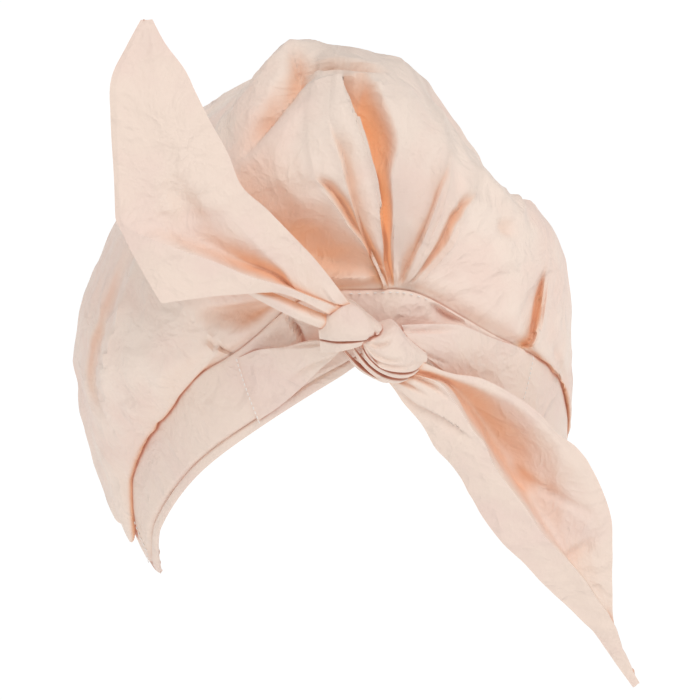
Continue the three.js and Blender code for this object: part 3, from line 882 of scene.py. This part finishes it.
# The hollow of the upper end, the fold at the knot and the hollow near its tip.
UPPER_FOLDS = [
    ("soft", [
        [-97, -106, 92, 6, 6, 0], [-95, -106, 84, 8, 8, -2], [-90, -106, 74, 8, 8, -3],
        [-80, -104, 62, 6, 6, 0],
    ]),
    ("sharp", [[-36, -112, 42, 1.5, 4, 0], [-32, -113, 35, 1.5, 4, 1.4], [-28, -113, 30, 1, 3, 1]]),
    ("soft", [[-78, -111, 96, 10, 6, 0], [-84, -110, 112, 12, 6, -1.6], [-90, -106, 130, 8, 5, 0]]),
]
# Pleats of the hanging end below the knot, then the creases across it farther down.
HANGING_FOLDS = [
    ("soft", [
        [-6, -112, -5, 4, 1, 0], [0, -112, -11, 4, 1, -1.4], [8, -112.5, -18, 5, 1, -2],
        [17, -113, -22, 6, 1, -2], [25, -113, -27, 6, 1, -1.6], [33, -113, -34, 4, 1, 0],
    ]),
    ("soft", [
        [0, -113, -1, 1, 1.5, -1], [8, -114.5, -5, 1.4, 2, -2], [16, -115, -10, 1.4, 2, -1.6],
        [23, -115, -17, 1, 1.5, 0],
    ]),
    ("soft", [
        [-3, -113, -3.5, 1, 1.5, -1], [4, -113.5, -8, 1.2, 2, -1.8], [12, -114, -13, 1, 1.5, 0],
    ]),
    ("soft", [
        [40, -95, -52, 3, 3, 0], [52, -93, -58, 4, 6, -2.4], [66, -98, -66, 3, 6, -2.4],
        [80, -101, -73, 3, 5, -1.8], [91, -100, -79, 3, 4, 0],
    ]),
    ("soft", [
        [92, -99, -82, 3, 4, 0], [84, -99, -92, 3, 6, -1.8], [74, -97, -96, 3, 6, -1.5],
        [66, -97, -92, 3, 4, 0],
    ]),
]


# ---------- the knot ----------

# The knot's layers from the back to the front, each with its lines from high to low: x, y, z.
KNOT_LAYERS = [
    [  # the strap turned under the lobes
        ("sharp", [
            [-27, -108, 13], [-23, -109, 8], [-18, -110, 3.5], [-12, -110.5, 0], [-5, -108, -3],
            [2, -104, -3],
        ]),
        ("smooth", [
            [-27, -111.5, 12.5], [-22.5, -113, 6.5], [-18, -114, 1.8], [-12, -114.5, -2],
            [-5.5, -112.5, -4.8], [2, -107, -4.5],
        ]),
        ("sharp", [
            [-27, -110, 11.5], [-22.5, -111.5, 5], [-18.3, -112.5, 0.6], [-12, -113, -3.2],
            [-5.8, -110.5, -6.2], [2, -105.5, -5.2],
        ]),
        ("sharp", [
            [-27, -106, 11.8], [-22, -106, 6], [-18, -106, 1.5], [-12, -106, -2], [-5.5, -105, -5],
            [2, -102, -4.5],
        ]),
    ],
    [  # the layer in front of it
        ("sharp", [
            [-23.5, -110, 14.5], [-19, -112, 9], [-14.5, -113, 4], [-8, -113.5, 0.5],
            [0, -111.5, -1.5], [8, -105, -2],
        ]),
        ("smooth", [
            [-23, -113.5, 14], [-18.8, -116.5, 7.5], [-14, -118, 2.5], [-7.5, -118, -1.8],
            [0, -115.5, -3.8], [7.5, -108, -3.3],
        ]),
        ("sharp", [
            [-23, -112.5, 13], [-19.3, -115.2, 6], [-14.8, -117, 1], [-8.5, -117.2, -3.2],
            [-1, -114, -5.2], [6.5, -106.5, -4.2],
        ]),
        ("sharp", [
            [-23, -108, 13], [-19, -109, 6.5], [-14.5, -110, 1.5], [-8, -110, -2.5],
            [-1, -108, -4.5], [6, -103, -3.5],
        ]),
    ],
    [  # the layer under the right lobe
        ("sharp", [
            [-20, -112, 16], [-16.5, -114, 10.5], [-11, -115, 6], [-4, -115, 3], [3, -112.5, 1.5],
            [9.5, -106, 1],
        ]),
        ("smooth", [
            [-19.5, -116, 15.5], [-16.4, -119.4, 8.8], [-11, -120.8, 4], [-4, -120.4, 0.8],
            [3, -117.5, -0.8], [9.3, -109, -0.8],
        ]),
        ("sharp", [
            [-19.5, -115, 14.8], [-17, -118, 7.4], [-11.9, -119.8, 2.4], [-5, -119.4, -0.9],
            [2, -116, -2.4], [8.6, -107.5, -2],
        ]),
        ("sharp", [
            [-19.5, -110, 14.8], [-16.8, -112, 8], [-11.6, -113, 3], [-5, -113, 0], [2, -110, -1.6],
            [8, -104, -1.4],
        ]),
    ],
    [  # the broad right lobe
        ("sharp", [
            [-15, -107, 19], [-9.5, -107, 20], [-3.5, -107, 21], [3, -105, 13.5], [10.5, -103, 6],
        ]),
        ("smooth", [
            [-16, -112.5, 18.8], [-9.5, -114.5, 19.6], [-3.2, -116, 20.4], [3, -114, 12.8],
            [11.8, -107.5, 4.6],
        ]),
        ("smooth", [
            [-17, -117, 17], [-11, -120.4, 16.6], [-4.5, -121.8, 14.6], [2.5, -119, 8.6],
            [11.6, -109.5, 2.6],
        ]),
        ("smooth", [
            [-18.2, -118.4, 15.8], [-14, -121.8, 11], [-8, -123.2, 8], [0, -120.6, 4.6],
            [10.8, -109.8, 1.2],
        ]),
        ("sharp", [
            [-18.6, -117.6, 15], [-15.9, -121, 8.6], [-10.4, -122.8, 4.4], [-3, -121.6, 2],
            [3.6, -117.6, 0.8], [9.8, -108.8, 0.2],
        ]),
        ("sharp", [
            [-18.6, -112, 15], [-15.4, -114, 9.4], [-10, -115, 5.4], [-3, -114, 3],
            [3.4, -111, 1.8], [9, -105, 1],
        ]),
    ],
    [  # the doubled edge under the left lobe
        ("sharp", [
            [-34.8, -108.5, 15], [-28, -113.5, 15.8], [-21, -115.5, 16.3], [-15.5, -115.8, 17.2],
        ]),
        ("smooth", [
            [-35.7, -112.5, 14.9], [-28, -118.8, 15.7], [-21, -120.6, 16.3], [-15.5, -119.7, 17],
        ]),
        ("sharp", [
            [-35.6, -112.8, 10], [-28, -118.9, 12], [-21.5, -120.5, 13.8], [-15.6, -119.5, 16.2],
        ]),
        ("sharp", [[-34.5, -107, 11.5], [-28, -111, 13], [-21, -112.5, 14.4], [-15.5, -113, 16.5]]),
    ],
    [  # the left lobe
        ("sharp", [
            [-33.6, -105, 22.5], [-29.5, -105, 28.6], [-22, -106, 31], [-13.5, -108, 24.2],
            [-8.6, -111, 20.4],
        ]),
        ("smooth", [
            [-35.4, -109, 20.5], [-30.6, -112.5, 27.4], [-22, -115, 30.2], [-14, -116, 24],
            [-9.6, -116.4, 20.2],
        ]),
        ("smooth", [
            [-36, -111.8, 18.8], [-30.4, -118.6, 21.4], [-22, -121.2, 23.4], [-15.2, -120.6, 20.8],
            [-11.6, -119.4, 19.4],
        ]),
        ("sharp", [
            [-35.8, -112.4, 16.2], [-30, -119, 16.8], [-22.6, -121.2, 17.2], [-17, -121, 17.4],
            [-13.4, -119.8, 18.4],
        ]),
        ("sharp", [
            [-34.6, -107.6, 15.6], [-29, -112, 16.4], [-22, -113.6, 16.8], [-16.8, -113.6, 17],
            [-13.4, -113.6, 18],
        ]),
    ],
]
# Creases of the lobes where they are drawn together, and low ridges across them.
KNOT_FOLDS = [
    ("soft", [
        [-18, -119.6, 15.8, 1.6, 1.6, -1], [-12, -121.3, 14.4, 1.8, 2.2, -2],
        [-8.4, -121.6, 15.6, 1.6, 2, -1.6], [-6, -120.8, 18, 1.4, 1.4, 0],
    ]),
    ("soft", [
        [-18.4, -119, 14.8, 1.4, 1.4, -0.6], [-14, -121.6, 10.6, 1.6, 2.4, -1.7],
        [-8, -122.8, 7.6, 1.6, 2.4, -1.7], [-1, -121.2, 6.6, 1.4, 1.8, 0],
    ]),
    ("soft", [
        [-18.6, -118.6, 13.6, 1.2, 1.2, -0.6], [-15, -121.4, 8.2, 1.3, 1.8, -1.5],
        [-8, -122.8, 5.2, 1.3, 1.8, -1.5], [-1, -121.2, 3.8, 1.3, 1.6, -1],
        [6, -115.6, 3.2, 1.2, 1.2, 0],
    ]),
    ("soft", [
        [-16.6, -120.4, 17, 1.2, 1.4, -0.6], [-13.8, -120, 18.4, 1.3, 1.5, -1.8],
        [-12.4, -119.4, 20.4, 1.3, 1.5, -1.6], [-14, -118.8, 22, 1.2, 1.2, 0],
    ]),
    ("sharp", [
        [-33, -113, 26, 5, 4, 0], [-29, -117, 22, 5, 4, 0.9], [-22, -121, 20, 4, 4, 0.9],
        [-16, -121, 19, 3, 3, 0],
    ]),
    ("soft", [
        [-27, -115.5, 29.5, 2, 2, 0], [-26, -117.5, 26, 2, 3, -0.8], [-22, -120.3, 22.5, 2, 2, 0],
    ]),
    ("sharp", [[-3, -119, 19, 2, 4, 0], [3, -117.4, 11, 2, 4, 0.9], [9, -112.6, 4.6, 2, 3, 0]]),
]


def make_knot():
    layers = []
    for seed, lines in enumerate(KNOT_LAYERS, start=10):
        layers.append(lofted_piece(
            "knot_layer", lines, (0.06, 0.03), KNOT_FOLDS, seed, dents=0.16, steps=64, across=10,
        ))
    return joined(layers, "knot_cloth")


def joined(pieces, name):
    """The pieces as one, which takes the place of the first."""
    bpy.ops.object.select_all(action="DESELECT")
    for piece in pieces:
        piece.select_set(True)
    bpy.context.view_layer.objects.active = pieces[0]
    bpy.ops.object.join()
    pieces[0].name = name
    pieces[0].data.name = name
    return pieces[0]


# ---------- stitching ----------

STITCH = (0.3, 0.3, 0.8)  # half sizes of a stitch
ON_STRAPS = BAND_WALL + 1.9
ON_SEAM = BAND_WALL + 0.6
ON_BAND = BAND_WALL + 0.55
# start and end of each row of stitches, as heading and share up the band, their count and how
# far out they are: the ends of the straps, the front seam, then both ends of the band
STITCH_ROWS = [
    ((-34.3, 0.04), (-34.3, 0.93), 14, ON_STRAPS),
    ((35.0, 0.04), (35.0, 0.97), 14, ON_STRAPS),
    ((-11.0, 0.97), (8.0, 0.97), 11, ON_SEAM),
    ((-88.0, 0.12), (-88.0, 0.9), 13, ON_BAND),
    ((92.0, 0.12), (92.0, 0.97), 14, ON_BAND),
    ((-88.0, 0.12), (-94.0, 0.12), 4, ON_BAND),
    ((92.0, 0.12), (96.5, 0.12), 4, ON_BAND),
]


AIM_STEP = 0.01  # share of a row over which the way of a stitch is measured


def stitch_line(start, end, count, out):
    """Places of a row's stitches, and the ways that they point."""
    share = (np.arange(count) + 0.5) / count
    heading = blend(start[0], end[0], share)
    up = blend(start[1], end[1], share)
    out = np.full(count, out)
    at = loop_point(heading, up, out)
    heading_ahead = heading + (end[0] - start[0]) * AIM_STEP
    up_ahead = up + (end[1] - start[1]) * AIM_STEP
    return at, loop_point(heading_ahead, up_ahead, out) - at


def make_stitches():
    stitches = []
    for row in STITCH_ROWS:
        for place, aim in zip(*stitch_line(*row)):
            bpy.ops.object.select_all(action="DESELECT")
            if stitches:
                stitches[0].select_set(True)
                bpy.context.view_layer.objects.active = stitches[0]
                bpy.ops.object.duplicate(linked=False)
            else:
                bpy.ops.mesh.primitive_uv_sphere_add(segments=8, ring_count=6, radius=1.0)
            stitch = bpy.context.active_object
            stitch.scale = [half * MM for half in STITCH]
            stitch.rotation_euler = Vector(aim).to_track_quat("Z", "Y").to_euler()
            stitch.location = Vector(place) * MM
            stitches.append(stitch)
    stitching = joined(stitches, "stitching")
    bpy.ops.object.transform_apply(location=True, rotation=True, scale=True)
    bpy.ops.object.shade_smooth()
    return stitching


# ---------- materials ----------

class Wire:
    """A socket of a material whose arithmetic adds Math nodes."""

    def __init__(self, finish, socket):
        self.finish, self.socket = finish, socket

    def maths(self, operation, first, second):
        return self.finish.node("ShaderNodeMath", {"operation": operation}, {0: first, 1: second})

    def __add__(self, other):
        return self.maths("ADD", self, other)

    def __radd__(self, other):
        return self.maths("ADD", other, self)

    def __sub__(self, other):
        return self.maths("SUBTRACT", self, other)

    def __rsub__(self, other):
        return self.maths("SUBTRACT", other, self)

    def __mul__(self, other):
        return self.maths("MULTIPLY", self, other)

    def __rmul__(self, other):
        return self.maths("MULTIPLY", other, self)


class Finish:
    """A material under construction."""

    def __init__(self, name):
        self.material = bpy.data.materials.new(name)
        self.material.use_nodes = True
        self.tree = self.material.node_tree
        self.shader = self.tree.nodes["Principled BSDF"]

    def node(self, kind, settings=(), sockets=(), out=0):
        made = self.tree.nodes.new(kind)
        for name, value in dict(settings).items():
            setattr(made, name, value)
        for name, value in dict(sockets).items():
            self.feed(made.inputs[name], value)
        return Wire(self, made.outputs[out])

    def feed(self, socket, value):
        if isinstance(value, Wire):
            self.tree.links.new(value.socket, socket)
        else:
            socket.default_value = value

    def set(self, **sockets):
        for name, value in sockets.items():
            self.feed(self.shader.inputs[name.replace("_", " ")], value)

    def mixed(self, share, first, second):
        return self.node(
            "ShaderNodeMix", {"data_type": "RGBA"}, {0: share, 6: first, 7: second}, out=2,
        )

    def ramp(self, value, low, high):
        """From 0 at low to 1 at high."""
        return self.node(
            "ShaderNodeMapRange", {"interpolation_type": "SMOOTHSTEP"},
            {"Value": value, "From Min": low, "From Max": high, "To Min": 0.0, "To Max": 1.0},
        )

    def ridge(self, value):
        """Highest where the value passes the half, with a crisp line there."""
        return 0.5 - self.node("ShaderNodeMath", {"operation": "ABSOLUTE"}, {0: value - 0.5})


BLUSH = (0.86, 0.70, 0.60, 1.0)
PINK = (0.84, 0.655, 0.575, 1.0)
PALE = (0.89, 0.74, 0.642, 1.0)
PALE_PINK = (0.87, 0.68, 0.59, 1.0)
# Painted shade: the cloth turns to these colours in its hollows, under its overhangs and in its tightest
# creases, in place of the shade that falls there.
PEACH_SHADE = (0.825, 0.49, 0.33, 1.0)
ROSE_SHADE = (0.78, 0.53, 0.42, 1.0)
CREASE_SHADE = (0.50, 0.24, 0.17, 1.0)
# painted glow: emission colours that stand in for the light that comes through thin cloth into a shut-in
# fold, most in the crown's own folds
PAINTED_GLOW = (0.24, 0.15, 0.07, 1.0)
SOFT_PAINTED_GLOW = (0.14, 0.085, 0.045, 1.0)
FAINT_PAINTED_GLOW = (0.09, 0.045, 0.035, 1.0)
PAINTED_EMBER = (0.09, 0.025, 0.012, 1.0)  # the little of it that reaches the tightest creases
UNLIT = (0.0, 0.0, 0.0, 1.0)
GLOW_STARTS, GLOW_FULL = 0.3, 0.9  # nook values
CREASE_STARTS, CREASE_FULL = 0.12, 0.65  # values of the tight one


def taffeta(name, light, deep, glow, line, start, full, calm=0.0):
    """Crisp crinkled cloth, which turns to the deep colour where the piece is shut in.

    Start and full are the nook values where the painted shade begins and where it is complete:
    the deep colour is shade painted into the places that are shut in. The glow is painted light,
    an emission that stands in for light through the cloth in the places that are more shut in.
    Line is how much of the painted crease shade the tightest places take. Calm is how far up the
    cloth's own map the painted shade builds up.
    """
    finish = Finish(name)
    place = finish.node("ShaderNodeTexCoord", out="Object")
    cloth_map = finish.node("ShaderNodeUVMap", {"uv_map": "cloth"})
    clouds = finish.node(
        "ShaderNodeTexNoise",
        sockets={"Vector": place, "Scale": 22.0, "Detail": 3.0, "Roughness": 0.55},
    )
    # how shut in each place is, from the baked nook and tight values, sets where shade and glow are
    # painted
    nook = finish.node("ShaderNodeAttribute", {"attribute_name": "nook"}, out="Fac")
    warm = finish.ramp(clouds, 0.4, 0.65)
    depth = finish.ramp(nook, start, full)
    if calm:
        split = finish.node("ShaderNodeSeparateXYZ", sockets={"Vector": cloth_map}, out="Y")
        depth = depth * finish.ramp(split, 0.0, calm)
    tight = finish.node("ShaderNodeAttribute", {"attribute_name": "tight"}, out="Fac")
    # painted shade: the tightest creases turn to the dark crease shade colour
    crease = finish.ramp(tight, CREASE_STARTS, CREASE_FULL) * line
    # painted shade: the cloth's own tones turn to the deep shade colour where the piece is shut in
    painted_shade_tint = finish.mixed(depth, finish.mixed(warm, *light), deep)
    finish.set(Base_Color=finish.mixed(crease, painted_shade_tint, CREASE_SHADE))
    # painted glow: emission in the more shut-in places, and only the faint ember in the tightest creases
    painted_glow_colour = finish.mixed(finish.ramp(nook, GLOW_STARTS, GLOW_FULL), UNLIT, glow)
    finish.set(Emission_Color=finish.mixed(crease, painted_glow_colour, PAINTED_EMBER), Emission_Strength=1.0)
    warp = finish.node(
        "ShaderNodeTexNoise", sockets={"Vector": place, "Scale": 30.0, "Detail": 1.0}, out="Color",
    )
    bent = finish.node(
        "ShaderNodeVectorMath", {"operation": "MULTIPLY_ADD"},
        {0: warp, 1: (0.03, 0.03, 0.03), 2: place}, out="Vector",
    )
    broad = finish.node("ShaderNodeTexNoise", sockets={"Vector": bent, "Scale": 46.0, "Detail": 1.0})
    small = finish.node("ShaderNodeTexNoise", sockets={"Vector": bent, "Scale": 120.0, "Detail": 2.0})
    fine = finish.node(
        "ShaderNodeTexNoise",
        sockets={"Vector": place, "Scale": 330.0, "Detail": 3.0, "Roughness": 0.6},
    )
    weave = finish.node(
        "ShaderNodeTexWave", {"wave_type": "BANDS", "bands_direction": "X"},
        {"Vector": cloth_map, "Scale": 620.0, "Distortion": 1.5, "Detail": 2.0},
    )
    ridges = finish.ridge(broad) * 2.2 + finish.ridge(small) * 0.9 + fine * 0.18 + weave * 0.02
    bump = finish.node(
        "ShaderNodeBump", sockets={"Strength": 0.85, "Distance": 0.0022, "Height": ridges},
    )
    finish.set(Normal=bump, Roughness=0.5 + small * 0.16)
    finish.set(Sheen_Weight=0.15, Sheen_Roughness=0.4, Specular_IOR_Level=0.35)
    return finish.material


def thread_finish():
    finish = Finish("cotton_thread")
    place = finish.node("ShaderNodeTexCoord", out="Object")
    ply = finish.node(
        "ShaderNodeTexWave", {"wave_type": "BANDS", "bands_direction": "DIAGONAL"},
        {"Vector": place, "Scale": 900.0, "Distortion": 0.5},
    )
    finish.set(Base_Color=finish.mixed(ply, (0.9, 0.86, 0.82, 1.0), (0.8, 0.72, 0.66, 1.0)))
    bump = finish.node(
        "ShaderNodeBump", sockets={"Strength": 0.3, "Distance": 0.0002, "Height": ply},
    )
    finish.set(Normal=bump, Roughness=0.6)
    return finish.material


def wear(piece, material):
    """Gives a piece its only material."""
    piece.data.materials.clear()
    piece.data.materials.append(material)


# ---------- how closed in each place is ----------

NOOK_RAYS = 20
NOOK_REACH = 0.05  # how far rays look, in metres
TIGHT_REACH = 0.0022  # what they hit within this nearly touches
OFF_CLOTH = 0.0005  # how far off the cloth they start
FARTHEST_COUNTS = 0.4  # how much a hit at the full reach counts
NOOK_PASSES, TIGHT_PASSES = 4, 1  # rounds of smoothing


def mesh_numbers(parts, field, width, kind=float):
    """One field of all parts of a mesh, such as its vertices or edges, as rows."""
    values = np.empty(len(parts) * width, dtype=kind)
    parts.foreach_get(field, values)
    return values.reshape(-1, width)


def cloth_tree(pieces):
    """All the pieces in one tree that rays can be cast at."""
    places, faces, start = [], [], 0
    for piece in pieces:
        mesh = piece.data
        mesh.calc_loop_triangles()
        places.append(mesh_numbers(mesh.vertices, "co", 3))
        faces.append(mesh_numbers(mesh.loop_triangles, "vertices", 3, int) + start)
        start += len(mesh.vertices)
    return BVHTree.FromPolygons(np.concatenate(places).tolist(), np.concatenate(faces).tolist())


def ray_spread():
    """Directions round +Z, closer together near it."""
    turn = math.pi * (3.0 - math.sqrt(5.0))
    spread = []
    for k in range(NOOK_RAYS):
        flat = math.sqrt((k + 0.5) / NOOK_RAYS)
        along_x, along_y = flat * math.cos(k * turn), flat * math.sin(k * turn)
        spread.append((along_x, along_y, math.sqrt(1.0 - flat * flat)))
    return spread


def smoothed(values, edges, passes):
    """Values of a mesh's points, each averaged with its neighbours in each pass."""
    for _ in range(passes):
        total, count = values.copy(), np.ones(len(values))
        np.add.at(total, edges[:, 0], values[edges[:, 1]])
        np.add.at(total, edges[:, 1], values[edges[:, 0]])
        np.add.at(count, edges.ravel(), 1.0)
        values = total / count
    return values


def mark_nooks(pieces):
    """Gives every point of every piece two numbers from 0 in the open to 1 shut in.

    The nook looks some way off and is smoothed, the tight one only at what nearly touches.
    """
    tree = cloth_tree(pieces)
    spread = ray_spread()
    fading = 1.0 - FARTHEST_COUNTS
    for piece in pieces:
        mesh = piece.data
        places = mesh_numbers(mesh.vertices, "co", 3)
        normals = mesh_numbers(mesh.vertices, "normal", 3)
        edges = mesh_numbers(mesh.edges, "vertices", 2, int)
        nook, tight = np.zeros(len(places)), np.zeros(len(places))
        for k in range(len(places)):
            up = Vector(normals[k])
            side = up.orthogonal().normalized()
            other = up.cross(side)
            start = Vector(places[k]) + up * OFF_CLOTH
            for a, b, c in spread:
                hit = tree.ray_cast(start, side * a + other * b + up * c, NOOK_REACH)
                if hit[0] is not None:
                    nook[k] += 1.0 - fading * hit[3] / NOOK_REACH
                    tight[k] += (hit[3] < TIGHT_REACH) / NOOK_RAYS
        nook /= NOOK_RAYS
        # the two values drive the painted shade and the painted glow of the taffeta finishes
        for name, values, passes in (("nook", nook, NOOK_PASSES), ("tight", tight, TIGHT_PASSES)):
            layer = mesh.attributes.new(name, "FLOAT", "POINT")
            layer.data.foreach_set("value", smoothed(values, edges, passes))


# ---------- the whole cap ----------

crown = make_crown()
band = make_band()
casing = make_casing()
strap_left = lofted_piece(
    "strap_left_cloth", STRAP_LEFT, (0.06, 0.03), STRAP_FOLDS, seed=5, dents=0.3,
)
strap_right = lofted_piece(
    "strap_right_cloth", STRAP_RIGHT, (0.07, 0.026), STRAP_FOLDS, seed=6, dents=0.3,
)
knot = make_knot()
tail_upper = lofted_piece(
    "tail_upper_cloth", TAIL_UPPER, (0.17, 0.08), UPPER_FOLDS, seed=3, dents=0.6,
)
under = lofted_piece(
    "under_strip", UNDER_STRIP, (0.05, 0.01), [], seed=7, dents=0.3, steps=60, across=8,
)
tail_upper = joined([tail_upper, under], "tail_upper_cloth")
tail_hanging = lofted_piece(
    "tail_hanging_cloth", TAIL_HANGING, (0.2, 0.08), HANGING_FOLDS, seed=4, dents=0.6,
)
stitching = make_stitches()

cloth = [crown, band, casing, strap_left, strap_right, knot, tail_upper, tail_hanging]
mark_nooks(cloth)
# each taffeta paints shade into its hollows and creases and a glow into its shut-in folds
single = taffeta(
    "single_taffeta", (BLUSH, PINK), PEACH_SHADE, SOFT_PAINTED_GLOW, line=0.45, start=0.06, full=0.68,
)
top = taffeta(
    "crown_taffeta", (PALE, PALE_PINK), PEACH_SHADE, PAINTED_GLOW, line=0.5, start=-0.02, full=0.6, calm=0.016,
)
doubled = taffeta(
    "doubled_taffeta", (BLUSH, PINK), ROSE_SHADE, FAINT_PAINTED_GLOW, line=0.85, start=0.42, full=1.1,
)
wear(crown, top)
for piece in (tail_upper, tail_hanging):
    wear(piece, single)
for piece in (band, casing, strap_left, strap_right, knot):
    wear(piece, doubled)
wear(stitching, thread_finish())

nodes = [
    "crown", "headband", "nape_casing", "strap_left", "strap_right", "knot", "tail_upper",
    "tail_hanging",
]
for piece, node in zip(cloth, nodes):
    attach(piece, "root")
    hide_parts(node)
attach(stitching, "root")

# ---------- floor and light ----------

bpy.ops.object.select_all(action="DESELECT")
bpy.ops.mesh.primitive_plane_add(size=60.0, location=(0.0, 0.0, -0.5))
floor = bpy.context.active_object
floor.name = "floor"
paper = Finish("pale_paper")
paper.set(Base_Color=(0.93, 0.93, 0.93, 1.0), Roughness=0.9)
paper.set(Emission_Color=(1.0, 1.0, 1.0, 1.0), Emission_Strength=0.2)
wear(floor, paper.material)

scene = bpy.context.scene
scene.view_settings.view_transform = "Standard"
world = bpy.data.worlds.new("studio")
scene.world = world
world.use_nodes = True
world.node_tree.nodes["Background"].inputs["Color"].default_value = (1.0, 1.0, 1.0, 1.0)
world.node_tree.nodes["Background"].inputs["Strength"].default_value = 0.62
add_sun("key", (0.15, -1.0, 1.3), spread=40.0, power=1.13)
